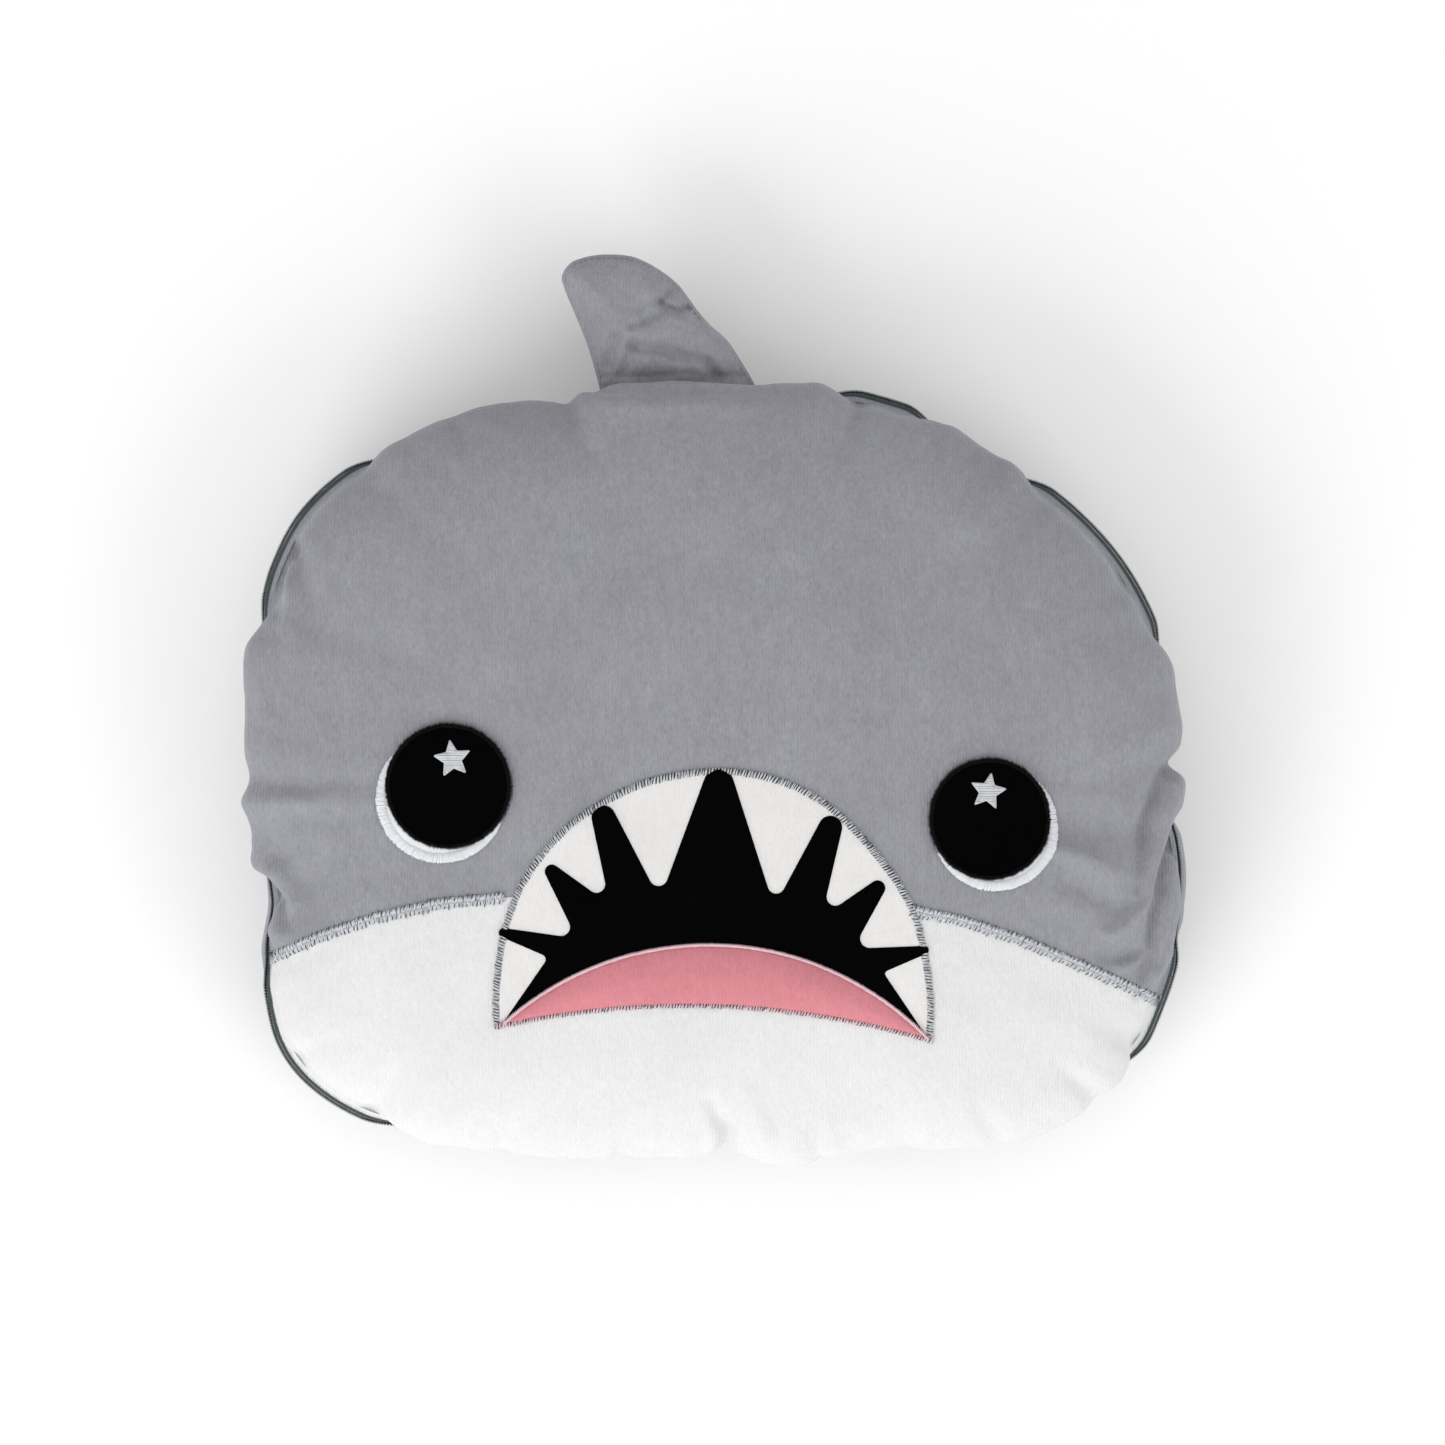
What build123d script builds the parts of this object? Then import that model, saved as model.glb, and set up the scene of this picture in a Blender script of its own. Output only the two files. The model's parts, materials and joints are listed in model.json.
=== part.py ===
"""Plush shark-head cushion: a zipped cover with a stuffed inner cushion, lying on its back.

Frame: the floor is Z = 0, the face looks up (+Z), the dorsal fin points along +Y, and the
origin is the centre of the flat patch that the back cover rests on. Millimetres throughout.
"""

import os
from functools import lru_cache
from math import cos, radians, sin

from build123d import *

# ---------------------------------------------------------------- driving dimensions
cushion_width = 400.0  # side to side, along X
cushion_height = 324.0  # nominal height along Y, without the fin
chin_share = 0.965  # the straight chin's distance from the middle, as a share of half the height
seam_height = 47.0  # the zip's mid plane above the floor
front_rise = 54.0  # nominal height of the face above the seam
back_drop = 52.0  # nominal depth of the back below the seam
dome_power = 2.5  # how square-shouldered the stuffed profile is
front_cap_share = 0.97  # where the face's dome is cut flat, as a share of its rise
back_cap_share = seam_height / back_drop  # the back's dome is cut flat by the floor

plush_thickness = 1.6
lining_thickness = 0.6
cloth_thickness = 0.6
applique_thickness = 0.8
layer_gap = 0.2  # between fabrics sewn on each other
cushion_gap = 1.0  # between the linings and the inner cushion

chain_half_width = 2.2  # half of the closed zip chain, across the seam
chain_thickness = 1.9
chain_proud = 0.3  # how far the chain stands out of the fabric's surface
tape_thickness = 0.5
tape_width = 12.0
half_gap = 0.2  # from the seam's mid plane to each half of the zip
zip_opening = 4.2  # from the seam's mid plane to the edge of each plush panel

hinge_half_length = 40.0  # half of the sewn stretch at the chin that the zip leaves closed
zip_end_length = 65.0  # each end of the zip that stays with the back cover
zip_end_gap = 1.0  # from each end piece to the rest of the zip

slider_length = 9.0
slider_wall = 0.9
slider_clearance = 0.3
slider_park = 4.0  # from the end of the zip to the parked slider
slider_travel = 27.0
slider_post_half = 0.45  # half thickness of the post between the slider's plates
slider_post_length = 2.0
crown_height = 2.4
crown_width = 1.6
crown_wall = 0.8
tab_length = 24.0
tab_width = 5.0
tab_thickness = 1.0
stop_length = 2.0

eye_radius = 26.5  # the black pupil
eye_white_radius = 27.3
left_eye_place = (-113.5, -5.0)
right_eye_place = (116.0, -19.0)
left_white_shift = (-3.2, -4.8)
right_white_shift = (2.4, -3.8)
star_radius = 7.8
star_waist = 0.46  # inner corners of the star, as a share of its radius
left_star_place = (-112.0, 6.8)
right_star_place = (115.0, -7.0)
left_star_turn = 98.0
right_star_turn = 80.0

border_stitch_width = 4.2
fine_stitch_width = 2.6

fin_root_left = -49.0
fin_root_right = 17.0
fin_root_half_thickness = 1.5
fin_half_thickness = 8.0
fin_tip_half_thickness = 3.0
fin_height = 55.0  # from the root seam to the top of the fin
fin_plush = 1.4
fin_gap = 0.4  # between the fin's root and the cover
fin_plan_inset = 1.6  # how far the fin's layers step in from above, as a multiple of their inset
fin_core_start = 4.0  # how far along the fin its filling starts, as a multiple of its inset

# ---------------------------------------------------------------- derived places
half_width = cushion_width / 2
half_height = cushion_height / 2
straight_half = hinge_half_length + zip_end_length
chin_y = -half_height * chin_share  # the outer surface at the straight chin
tape_outer = chain_thickness - chain_proud + layer_gap
tape_inner = tape_outer + tape_thickness
lining_outer = tape_inner + layer_gap
lining_inner = lining_outer + lining_thickness
cloth_outer = lining_inner + cushion_gap
cloth_inner = cloth_outer + cloth_thickness
filling_outer = cloth_inner + layer_gap
reach = cushion_width  # longer than anything it cuts

# The cover's plan outline from the right end of the straight chin, anticlockwise,
# as shares of the half width and the half height.
outline_shares = (
    (0.830, -0.835),
    (0.968, -0.490),
    (1.000, 0.000),
    (0.935, 0.440),
    (0.740, 0.745),
    (0.450, 0.945),
    (0.050, 1.012),
    (-0.400, 0.968),
    (-0.740, 0.805),
    (-0.950, 0.490),
    (-1.000, 0.000),
    (-0.970, -0.500),
    (-0.830, -0.825),
)
# The fin's outline from its root's right end: offsets along X, and shares of its height.
fin_curve = (
    (-5.5, 0.18),
    (-14.0, 0.38),
    (-25.5, 0.60),
    (-34.0, 0.80),
    (-50.0, 0.975),
    (-65.5, 1.0),
    (-79.0, 0.945),
    (-82.5, 0.83),
    (-76.5, 0.50),
    (-70.0, 0.22),
)
dome_shares = (0.0, 0.25, 0.5, 0.7, 0.85, 0.93)

os.makedirs("parts", exist_ok=True)


# ---------------------------------------------------------------- shared shapes
def outline_points(scale_x, scale_y):
    """The outline's spline points, with the straight chin's two ends first and last."""
    inner = [(x * half_width * scale_x, y * half_height * scale_y) for x, y in outline_shares]
    right = (straight_half * scale_x, chin_y * scale_y)
    left = (-straight_half * scale_x, chin_y * scale_y)
    return [right, *inner, left]


@lru_cache(maxsize=None)
def dome(inset, side):
    """The stuffed half on one side of the seam (+1 face, -1 back), inset from the outer surface."""
    rise = front_rise if side > 0 else back_drop
    cap = front_cap_share if side > 0 else back_cap_share
    stations = [share for share in dome_shares if share < cap - 0.02] + [cap]
    with BuildPart() as solid:
        for share in stations:
            shrink = (1 - share**dome_power) ** (1 / dome_power)
            points = outline_points(
                shrink * (half_width - inset) / half_width,
                shrink * (half_height - inset) / half_height,
            )
            level = Plane.XY.offset(seam_height + side * (rise * share - inset * share / cap))
            with BuildSketch(level):
                with BuildLine():
                    Spline(*points, tangents=[(1, 0), (1, 0)], tangent_scalars=[1, 1])
                    Line(points[-1], points[0])
                make_face()
        loft()
    return solid.part


def add_layer(outer, inner, side):
    """A fabric layer of the dome between two insets, in the active part."""
    add(dome(outer, side))
    add(dome(inner, side), mode=Mode.SUBTRACT)


def keep_between(low, high):
    """Keeps what lies between two distances from the seam's mid plane, signed along Z."""
    split(bisect_by=Plane.XY.offset(seam_height + low), keep=Keep.TOP)
    split(bisect_by=Plane.XY.offset(seam_height + high), keep=Keep.BOTTOM)


def keep_prism(outline):
    """Keeps what lies straight above and below an outline, in the active part."""
    extrude(outline, amount=reach, both=True, mode=Mode.INTERSECT)


def cut_prism(outline):
    """Cuts away what lies straight above and below an outline, in the active part."""
    extrude(outline, amount=reach, both=True, mode=Mode.SUBTRACT)


def save(builder, name):
    """Labels the finished part and writes it as the node of that name."""
    builder.part.label = name
    export_step(builder.part, f"parts/{name}.step")


def chin_outline(half_length):
    """A rectangle over the chin's edge, for cutting at the ends of the zip."""
    with BuildSketch() as outline:
        with Locations((0, chin_y)):
            Rectangle(2 * half_length, half_height)
    return outline.sketch


# ---------------------------------------------------------------- the face's artwork
muzzle_line = (
    (-half_width * 1.1, -91.0),
    (-188.0, -76.0),
    (-140.0, -60.5),
    (-88.0, -52.0),
    (0.0, -48.0),
    (84.0, -57.0),
    (140.0, -75.0),
    (191.0, -95.0),
    (half_width * 1.1, -101.0),
)
mouth_left = (-93.0, -107.0)
mouth_right = (90.5, -112.5)
mouth_side_left = (-90.0, -67.0)
mouth_shoulder_left = (-58.0, -18.5)
mouth_top = (0.0, 1.3)
mouth_shoulder_right = (62.0, -27.0)
mouth_side_right = (89.0, -79.0)
mouth_chin = (0.0, -97.5)
tongue_left = (-90.0, -107.0)
tongue_right = (88.5, -111.0)
tongue_crest = (0.0, -72.0)
# tips and valleys of the dark mouth, from its left corner to its right one
spikes = (
    (-91.0, -105.5),
    (-71.5, -77.5),
    (-93.5, -68.0),
    (-63.0, -69.5),
    (-75.5, -35.0),
    (-46.0, -48.5),
    (-53.0, -7.0),
    (-24.5, -47.0),
    (-1.5, 9.5),
    (27.0, -49.5),
    (51.0, -12.0),
    (48.5, -58.5),
    (73.0, -40.0),
    (60.5, -77.0),
    (93.5, -75.0),
    (71.5, -86.0),
    (89.0, -110.0),
)
spike_rounding = 3.0
spike_fine_rounding = 1.2


def grown(outline, amount):
    """An outline grown by an amount all round."""
    with BuildSketch() as larger:
        add(outline)
        offset(amount=amount)
    return larger.sketch


def without(outline, *cutters):
    """An outline with other outlines cut out of it."""
    with BuildSketch() as rest:
        add(outline)
        for cutter in cutters:
            add(cutter, mode=Mode.SUBTRACT)
    return rest.sketch


def below_muzzle_line(shift):
    """The region below the grey and white border, moved along Y by shift."""
    with BuildSketch() as region:
        with BuildLine():
            border = Spline(*[(x, y + shift) for x, y in muzzle_line])
            Polyline(border @ 1, (reach, -reach), (-reach, -reach), border @ 0)
        make_face()
    return region.sketch


def mouth_outline(growth=0.0):
    """The mouth's whole outline, grown all round; ungrown it is the white tooth panel's edge."""
    middle_y = (mouth_top[1] + mouth_chin[1]) / 2
    scale_x = 1 + growth / mouth_right[0]
    scale_y = 1 + growth / (mouth_top[1] - middle_y)
    upper = (
        mouth_left,
        mouth_side_left,
        mouth_shoulder_left,
        mouth_top,
        mouth_shoulder_right,
        mouth_side_right,
        mouth_right,
    )
    upper = [(x * scale_x, middle_y + (y - middle_y) * scale_y) for x, y in upper]
    chin = (mouth_chin[0], mouth_chin[1] - growth)
    with BuildSketch() as region:
        with BuildLine():
            Spline(*upper, tangents=[(0, 1), (0, -1)], tangent_scalars=[1, 1])
            ThreePointArc(upper[-1], chin, upper[0])
        make_face()
    return region.sketch


def crescent(left, right, upper_crest, lower_crest):
    """The region between two arcs that share their ends."""
    with BuildSketch() as region:
        with BuildLine():
            ThreePointArc(left, upper_crest, right)
            ThreePointArc(right, lower_crest, left)
        make_face()
    return region.sketch


def dark_mouth_outline():
    """The dark mouth with its rounded spikes, down to the tongue's upper edge."""
    with BuildSketch() as region:
        with BuildLine():
            Polyline(*spikes)
            ThreePointArc(spikes[-1], tongue_crest, spikes[0])
        make_face()
        corners = [v for v in vertices() if v.Y > spikes[-2][1] - 1]
        wide = [v for v in corners if v.Y > -60 and abs(v.X) < 56]
        fine = [v for v in corners if v not in wide]
        fillet(wide, spike_rounding)
        fillet(fine, spike_fine_rounding)
    return region.sketch


def star_outline(place, turn):
    """A five-pointed star with its first point at the angle turn."""
    corners = []
    for step in range(10):
        radius = star_radius if step % 2 == 0 else star_radius * star_waist
        angle = radians(turn + 36 * step)
        corners.append((place[0] + radius * cos(angle), place[1] + radius * sin(angle)))
    with BuildSketch() as star_shape:
        with BuildLine():
            Polyline(*corners, close=True)
        make_face()
    return star_shape.sketch


def disc(place, radius):
    """A round outline."""
    with BuildSketch() as region:
        with Locations(place):
            Circle(radius)
    return region.sketch


def level_of(layer):
    """Outer and inner inset of an applique layer, counted from 1 on the plush."""
    inner = -(layer_gap + (layer - 1) * (applique_thickness + layer_gap))
    return inner - applique_thickness, inner


# ---------------------------------------------------------------- front cover: fabrics
with BuildPart() as face_panel:
    add_layer(0, plush_thickness, 1)
    keep_between(zip_opening, reach)
    cut_prism(below_muzzle_line(layer_gap))
save(face_panel, "face_panel")

with BuildPart() as muzzle_panel:
    add_layer(0, plush_thickness, 1)
    keep_between(zip_opening, reach)
    keep_prism(below_muzzle_line(0))
save(muzzle_panel, "muzzle_panel")

with BuildPart() as front_lining:
    add_layer(lining_outer, lining_inner, 1)
    keep_between(zip_opening, reach)
save(front_lining, "front_lining")

# ---------------------------------------------------------------- front cover: face pieces
first_outer, first_inner = level_of(1)
second_outer, second_inner = level_of(2)
third_outer, third_inner = level_of(3)
mouth = mouth_outline()
dark_area = dark_mouth_outline()

with BuildPart() as tooth_panel:
    add_layer(first_outer, first_inner, 1)
    keep_prism(mouth)
save(tooth_panel, "tooth_panel")

with BuildPart() as dark_mouth:
    add_layer(second_outer, second_inner, 1)
    keep_prism(dark_area)
save(dark_mouth, "dark_mouth")

with BuildPart() as tongue:
    add_layer(second_outer, second_inner, 1)
    lower_edge = (mouth_chin[0], mouth_chin[1] + layer_gap)
    whole_tongue = crescent(tongue_left, tongue_right, tongue_crest, lower_edge)
    keep_prism(without(whole_tongue, grown(dark_area, layer_gap)))
save(tongue, "tongue")

with BuildPart() as tongue_border_stitch:
    add_layer(third_outer, third_inner, 1)
    lower_edge = (tongue_crest[0], tongue_crest[1] - fine_stitch_width)
    keep_prism(crescent(tongue_left, tongue_right, tongue_crest, lower_edge))
save(tongue_border_stitch, "tongue_border_stitch")

with BuildPart() as mouth_border_stitch:
    add_layer(first_outer, first_inner, 1)
    keep_prism(without(mouth_outline(layer_gap + fine_stitch_width), mouth_outline(layer_gap)))
save(mouth_border_stitch, "mouth_border_stitch")

muzzle_band = without(
    below_muzzle_line(border_stitch_width / 2),
    below_muzzle_line(-border_stitch_width / 2),
    mouth_outline(2 * layer_gap + fine_stitch_width),
)
for end, keep in (("left", Keep.BOTTOM), ("right", Keep.TOP)):
    with BuildPart() as muzzle_border_stitch:
        add_layer(first_outer, first_inner, 1)
        keep_between(zip_opening, reach)
        keep_prism(muzzle_band)
        split(bisect_by=Plane.YZ, keep=keep)
    save(muzzle_border_stitch, f"{end}_muzzle_border_stitch")

for eye, place, shift, star_place, star_turn in (
    ("left_eye", left_eye_place, left_white_shift, left_star_place, left_star_turn),
    ("right_eye", right_eye_place, right_white_shift, right_star_place, right_star_turn),
):
    with BuildPart() as eye_white:
        add_layer(first_outer, first_inner, 1)
        keep_prism(disc((place[0] + shift[0], place[1] + shift[1]), eye_white_radius))
    save(eye_white, f"{eye}_white")

    stitch_bore = disc(place, eye_radius - fine_stitch_width)
    with BuildPart() as pupil:
        add_layer(second_outer, second_inner, 1)
        keep_prism(disc(place, eye_radius - fine_stitch_width - layer_gap))
    save(pupil, f"{eye}_pupil")

    with BuildPart() as pupil_stitch:
        add_layer(second_outer, second_inner, 1)
        keep_prism(without(disc(place, eye_radius), stitch_bore))
    save(pupil_stitch, f"{eye}_border_stitch")

    with BuildPart() as star:
        add_layer(third_outer, third_inner, 1)
        keep_prism(star_outline(star_place, star_turn))
    save(star, f"{eye}_star")

# ---------------------------------------------------------------- zip halves
for half, side in (("front", 1), ("back", -1)):
    with BuildPart() as zip_tape:
        add_layer(tape_outer, tape_inner, side)
        keep_between(*sorted((side * half_gap, side * tape_width)))
        cut_prism(chin_outline(straight_half + zip_end_gap))
    save(zip_tape, f"zip_tape_{half}")

    with BuildPart() as zip_coil:
        add_layer(-chain_proud, chain_thickness - chain_proud, side)
        keep_between(*sorted((side * half_gap, side * chain_half_width)))
        cut_prism(chin_outline(straight_half + zip_end_gap))
    save(zip_coil, f"zip_coil_{half}")


def bar_outline(x_low, x_high, outer, inner):
    """A rectangle on the seam's mid plane along the chin, between two insets."""
    with BuildSketch(Plane.XY.offset(seam_height)) as outline:
        with Locations(((x_low + x_high) / 2, chin_y + (outer + inner) / 2)):
            Rectangle(x_high - x_low, inner - outer)
    return outline.sketch


stop_outer = hinge_half_length + stop_length
chain_inner = chain_thickness - chain_proud
slot_half = slider_post_half + slider_clearance  # the slider's post runs between the two halves
for end, sign in (("left", -1), ("right", 1)):
    low, high = sorted((sign * (stop_outer + layer_gap), sign * (straight_half - layer_gap)))
    for half, keep in (("front", Keep.TOP), ("back", Keep.BOTTOM)):
        with BuildPart() as zip_end:
            chain = bar_outline(low, high, -chain_proud, chain_inner)
            extrude(chain, amount=chain_half_width, both=True)
            tape = bar_outline(low, high, chain_inner, tape_inner)
            extrude(tape, amount=zip_opening - layer_gap, both=True)
            slot = bar_outline(low, high, -chain_proud, tape_inner)
            extrude(slot, amount=slot_half, both=True, mode=Mode.SUBTRACT)
            split(bisect_by=Plane.XY.offset(seam_height), keep=keep)
        save(zip_end, f"zip_end_{end}_{half}")

for half, keep in (("front", Keep.TOP), ("back", Keep.BOTTOM)):
    with BuildPart() as top_stop:
        low, high = -stop_outer + layer_gap / 2, -hinge_half_length - layer_gap / 2
        stop_block = bar_outline(low, high, -chain_proud, tape_inner)
        extrude(stop_block, amount=chain_half_width, both=True)
        extrude(stop_block, amount=half_gap, both=True, mode=Mode.SUBTRACT)
        split(bisect_by=Plane.XY.offset(seam_height), keep=keep)
    save(top_stop, f"zip_top_stop_{half}")

with BuildPart() as zip_bottom_stop:
    low, high = hinge_half_length + layer_gap / 2, stop_outer - layer_gap / 2
    extrude(bar_outline(low, high, -chain_proud, tape_inner), amount=chain_half_width, both=True)
save(zip_bottom_stop, "zip_bottom_stop")

with BuildPart() as hinge_strip:
    high = hinge_half_length - layer_gap
    strip = bar_outline(-high, high, 0, plush_thickness)
    extrude(strip, amount=zip_opening - layer_gap, both=True)
save(hinge_strip, "hinge_strip")

# ---------------------------------------------------------------- zip slider and its tab
slider_x = -(stop_outer + slider_park + slider_length / 2)
slider_low, slider_high = slider_x - slider_length / 2, slider_x + slider_length / 2
plate_inset = -(chain_proud + slider_clearance)  # the outer plate's inner face
back_plate_inset = tape_inner + slider_clearance
channel_half_rise = chain_half_width + slider_clearance
slider_half_rise = channel_half_rise + slider_wall
crown_low, crown_high = slider_low + slider_length * 0.12, slider_high - slider_length * 0.12
crown_top = plate_inset - slider_wall - crown_height

with BuildPart() as slider_body:
    # the outer plate with its two flanges, over the coils and down to the tape
    plate = bar_outline(slider_low, slider_high, plate_inset - slider_wall, plate_inset)
    extrude(plate, amount=slider_half_rise, both=True)
    flange_inset = chain_inner - slider_clearance
    flanges = bar_outline(slider_low, slider_high, plate_inset, flange_inset)
    extrude(flanges, amount=slider_half_rise, both=True)
    extrude(flanges, amount=channel_half_rise, both=True, mode=Mode.SUBTRACT)
    # the back plate, behind the tape
    back_plate = bar_outline(slider_low, slider_high, back_plate_inset, back_plate_inset + slider_wall)
    extrude(back_plate, amount=slider_half_rise, both=True)
    # the post that joins the plates, between the two rows of coils
    post_low = slider_high - slider_post_length
    post = bar_outline(post_low, slider_high, plate_inset, back_plate_inset)
    extrude(post, amount=slider_post_half, both=True)
    # the crown, which the tab's loop runs round
    crown = bar_outline(crown_low, crown_high, crown_top, plate_inset - slider_wall)
    extrude(crown, amount=crown_width / 2, both=True)
    crown_hole = bar_outline(
        crown_low + crown_wall,
        crown_high - crown_wall,
        crown_top + crown_wall,
        plate_inset - slider_wall,
    )
    extrude(crown_hole, amount=crown_width, both=True, mode=Mode.SUBTRACT)
save(slider_body, "slider_body")

# the tab's end bar turns inside the crown, at the leg away from the zip's stops
bar_x = crown_low + crown_wall + slider_clearance + tab_thickness / 2
bar_inset = plate_inset - slider_wall - slider_clearance - tab_thickness / 2
tab_eye_length = crown_high - bar_x + slider_clearance + tab_thickness
tab_eye_half = crown_width / 2 + slider_clearance

with BuildPart() as pull_tab:
    with BuildSketch(Plane.XZ.offset(-chin_y - bar_inset)):
        with Locations((bar_x + tab_thickness / 2 - tab_length / 2, seam_height)):
            RectangleRounded(tab_length, tab_width, tab_width / 5)
        with Locations((bar_x - tab_thickness / 2 - tab_eye_length / 2, seam_height)):
            Rectangle(tab_eye_length, 2 * tab_eye_half, mode=Mode.SUBTRACT)
    extrude(amount=tab_thickness / 2, both=True)
save(pull_tab, "pull_tab")

# ---------------------------------------------------------------- back cover and inner cushion
with BuildPart() as back_panel:
    add_layer(0, plush_thickness, -1)
    keep_between(-reach, -zip_opening)
save(back_panel, "back_panel")

with BuildPart() as back_lining:
    add_layer(lining_outer, lining_inner, -1)
    keep_between(-reach, -zip_opening)
save(back_lining, "back_lining")

for half, side in (("front", 1), ("back", -1)):
    with BuildPart() as cushion_cloth:
        add_layer(cloth_outer, cloth_inner, side)
        keep_between(*sorted((side * half_gap, side * reach)))
    save(cushion_cloth, f"cushion_{half}_cloth")

with BuildPart() as fibre_filling:
    add(dome(filling_outer, 1))
    add(dome(filling_outer, -1))
save(fibre_filling, "fibre_filling")

# ---------------------------------------------------------------- dorsal fin
cover_top = dome(0, 1).bounding_box().max.Y
fin_axis_y = cover_top + fin_gap + fin_root_half_thickness
fin_axis_z = seam_height + zip_opening + fin_root_half_thickness
fin_top = fin_axis_y + fin_height


def fin_plan(inset=0.0):
    """The fin's outline from above, swept back towards -X, stepped in by an inset."""
    points = [
        (fin_root_right, fin_axis_y - fin_root_half_thickness),
        *[(fin_root_right + x, fin_axis_y + y * fin_height) for x, y in fin_curve],
        (fin_root_left, fin_axis_y - fin_root_half_thickness),
    ]
    across = [x for x, y in points]
    middle_x, middle_y = (min(across) + max(across)) / 2, fin_axis_y + fin_height / 2
    scale_x = 1 - 2 * fin_plan_inset * inset / (max(across) - min(across))
    scale_y = 1 - 2 * fin_plan_inset * inset / fin_height
    points = [(middle_x + (x - middle_x) * scale_x, middle_y + (y - middle_y) * scale_y) for x, y in points]
    with BuildSketch() as plan:
        with BuildLine():
            swept = Spline(*points)
            Line(swept @ 1, swept @ 0)
        make_face()
    return plan.sketch


def fin_section(inset):
    """The fin's lens-shaped section from the side, with a round root about its hinge axis."""
    root_y = fin_axis_y + inset * fin_core_start
    profile = (
        (root_y, fin_root_half_thickness),
        (fin_axis_y + fin_height * 0.45, fin_half_thickness - inset),
        (fin_top + 1, fin_tip_half_thickness - inset),
    )
    with BuildSketch(Plane.YZ) as section:
        with BuildLine():
            upper = ThreePointArc(*[(y, fin_axis_z + z) for y, z in profile])
            lower = ThreePointArc(*[(y, fin_axis_z - z) for y, z in profile])
            Line(upper @ 1, lower @ 1)
            ThreePointArc(upper @ 0, (root_y - fin_root_half_thickness, fin_axis_z), lower @ 0)
        make_face()
    return section.sketch


@lru_cache(maxsize=None)
def fin_shape(inset):
    """The fin's whole stuffed shape, inset from its outer surface."""
    with BuildPart() as shape:
        extrude(fin_plan(inset), amount=fin_axis_z * 2)
        keep_prism(fin_section(inset))
    return shape.part


for half, keep, level in (("front", Keep.TOP, 1), ("back", Keep.BOTTOM, -1)):
    with BuildPart() as fin_panel:
        add(fin_shape(0))
        add(fin_shape(fin_plush), mode=Mode.SUBTRACT)
        split(bisect_by=Plane.XY.offset(fin_axis_z + level * layer_gap / 2), keep=keep)
    save(fin_panel, f"fin_{half}_panel")

with BuildPart() as fin_filling:
    add(fin_shape(fin_plush + layer_gap))
save(fin_filling, "fin_filling")
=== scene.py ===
"""Plush shark cushion on a pale floor, seen from straight above."""
import json
import random
from math import asin, atan2, copysign, cos, degrees, dist, exp, hypot, pi, radians, sin, sqrt

import bpy
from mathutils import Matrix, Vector, noise
from mathutils.geometry import delaunay_2d_cdt


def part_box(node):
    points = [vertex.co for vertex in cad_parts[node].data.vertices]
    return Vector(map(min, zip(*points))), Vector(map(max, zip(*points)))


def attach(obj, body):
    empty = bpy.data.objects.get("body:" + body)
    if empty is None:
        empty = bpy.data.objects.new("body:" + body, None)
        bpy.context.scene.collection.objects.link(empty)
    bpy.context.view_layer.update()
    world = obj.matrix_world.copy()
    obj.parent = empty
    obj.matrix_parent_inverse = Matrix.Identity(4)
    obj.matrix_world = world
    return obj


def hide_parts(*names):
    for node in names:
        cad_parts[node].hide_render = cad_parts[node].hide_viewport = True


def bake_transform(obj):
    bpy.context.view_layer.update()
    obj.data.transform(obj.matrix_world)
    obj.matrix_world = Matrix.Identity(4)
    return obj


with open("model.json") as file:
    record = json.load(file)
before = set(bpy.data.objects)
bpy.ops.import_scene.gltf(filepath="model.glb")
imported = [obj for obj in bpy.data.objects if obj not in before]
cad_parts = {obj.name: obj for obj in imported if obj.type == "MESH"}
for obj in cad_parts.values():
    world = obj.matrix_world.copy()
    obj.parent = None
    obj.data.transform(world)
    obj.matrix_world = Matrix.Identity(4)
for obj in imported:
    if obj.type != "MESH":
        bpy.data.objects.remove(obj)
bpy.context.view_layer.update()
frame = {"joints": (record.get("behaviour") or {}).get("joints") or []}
random.seed(7)

scene = bpy.context.scene
MM = 0.001
strip_low, strip_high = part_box("hinge_strip")
SEAM = (strip_low[2] + strip_high[2]) / 2 / MM  # height of the zip, in millimetres like all below
CHIN = strip_low[1] / MM  # the straight chin's outer surface
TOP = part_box("face_panel")[1][2] / MM
FIN_Z = next(j for j in frame["joints"] if j["name"] == "fin_flop")["pos_m"][2] / MM


# --- small helpers
def smooth(low, high, value):
    t = min(1.0, max(0.0, (value - low) / (high - low)))
    return t * t * (3 - 2 * t)


def wobble(x, y, z):
    """Smooth noise that is the same every run."""
    return noise.noise(Vector((x, y, z)))


def bell(distance, width):
    return exp(-((distance / width) ** 2))


def to_segment(x, y, a, b):
    """Distance from a point to a segment, and the share of the way along it."""
    ax, ay = b[0] - a[0], b[1] - a[1]
    t = ((x - a[0]) * ax + (y - a[1]) * ay) / (ax * ax + ay * ay)
    t = min(1.0, max(0.0, t))
    return hypot(x - a[0] - t * ax, y - a[1] - t * ay), t


def to_path(x, y, path):
    """Distance from a point to a path of straight runs, and the share of the way along it."""
    found = [(*to_segment(x, y, a, b), i) for i, (a, b) in enumerate(zip(path, path[1:]))]
    distance, t, i = min(found)
    return distance, (i + t) / (len(path) - 1)


def catmull(points, steps):
    """A smooth open curve through points."""
    ends = [points[0], *points, points[-1]]
    out = []
    for i in range(1, len(ends) - 2):
        p0, p1, p2, p3 = ends[i - 1 : i + 3]
        for k in range(steps):
            t = k / steps
            out.append(tuple(
                0.5 * (
                    2 * b + (c - a) * t + (2 * a - 5 * b + 4 * c - d) * t**2 + (3 * b - a - 3 * c + d) * t**3
                )
                for a, b, c, d in zip(p0, p1, p2, p3)
            ))
    out.append(points[-1])
    return out


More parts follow.
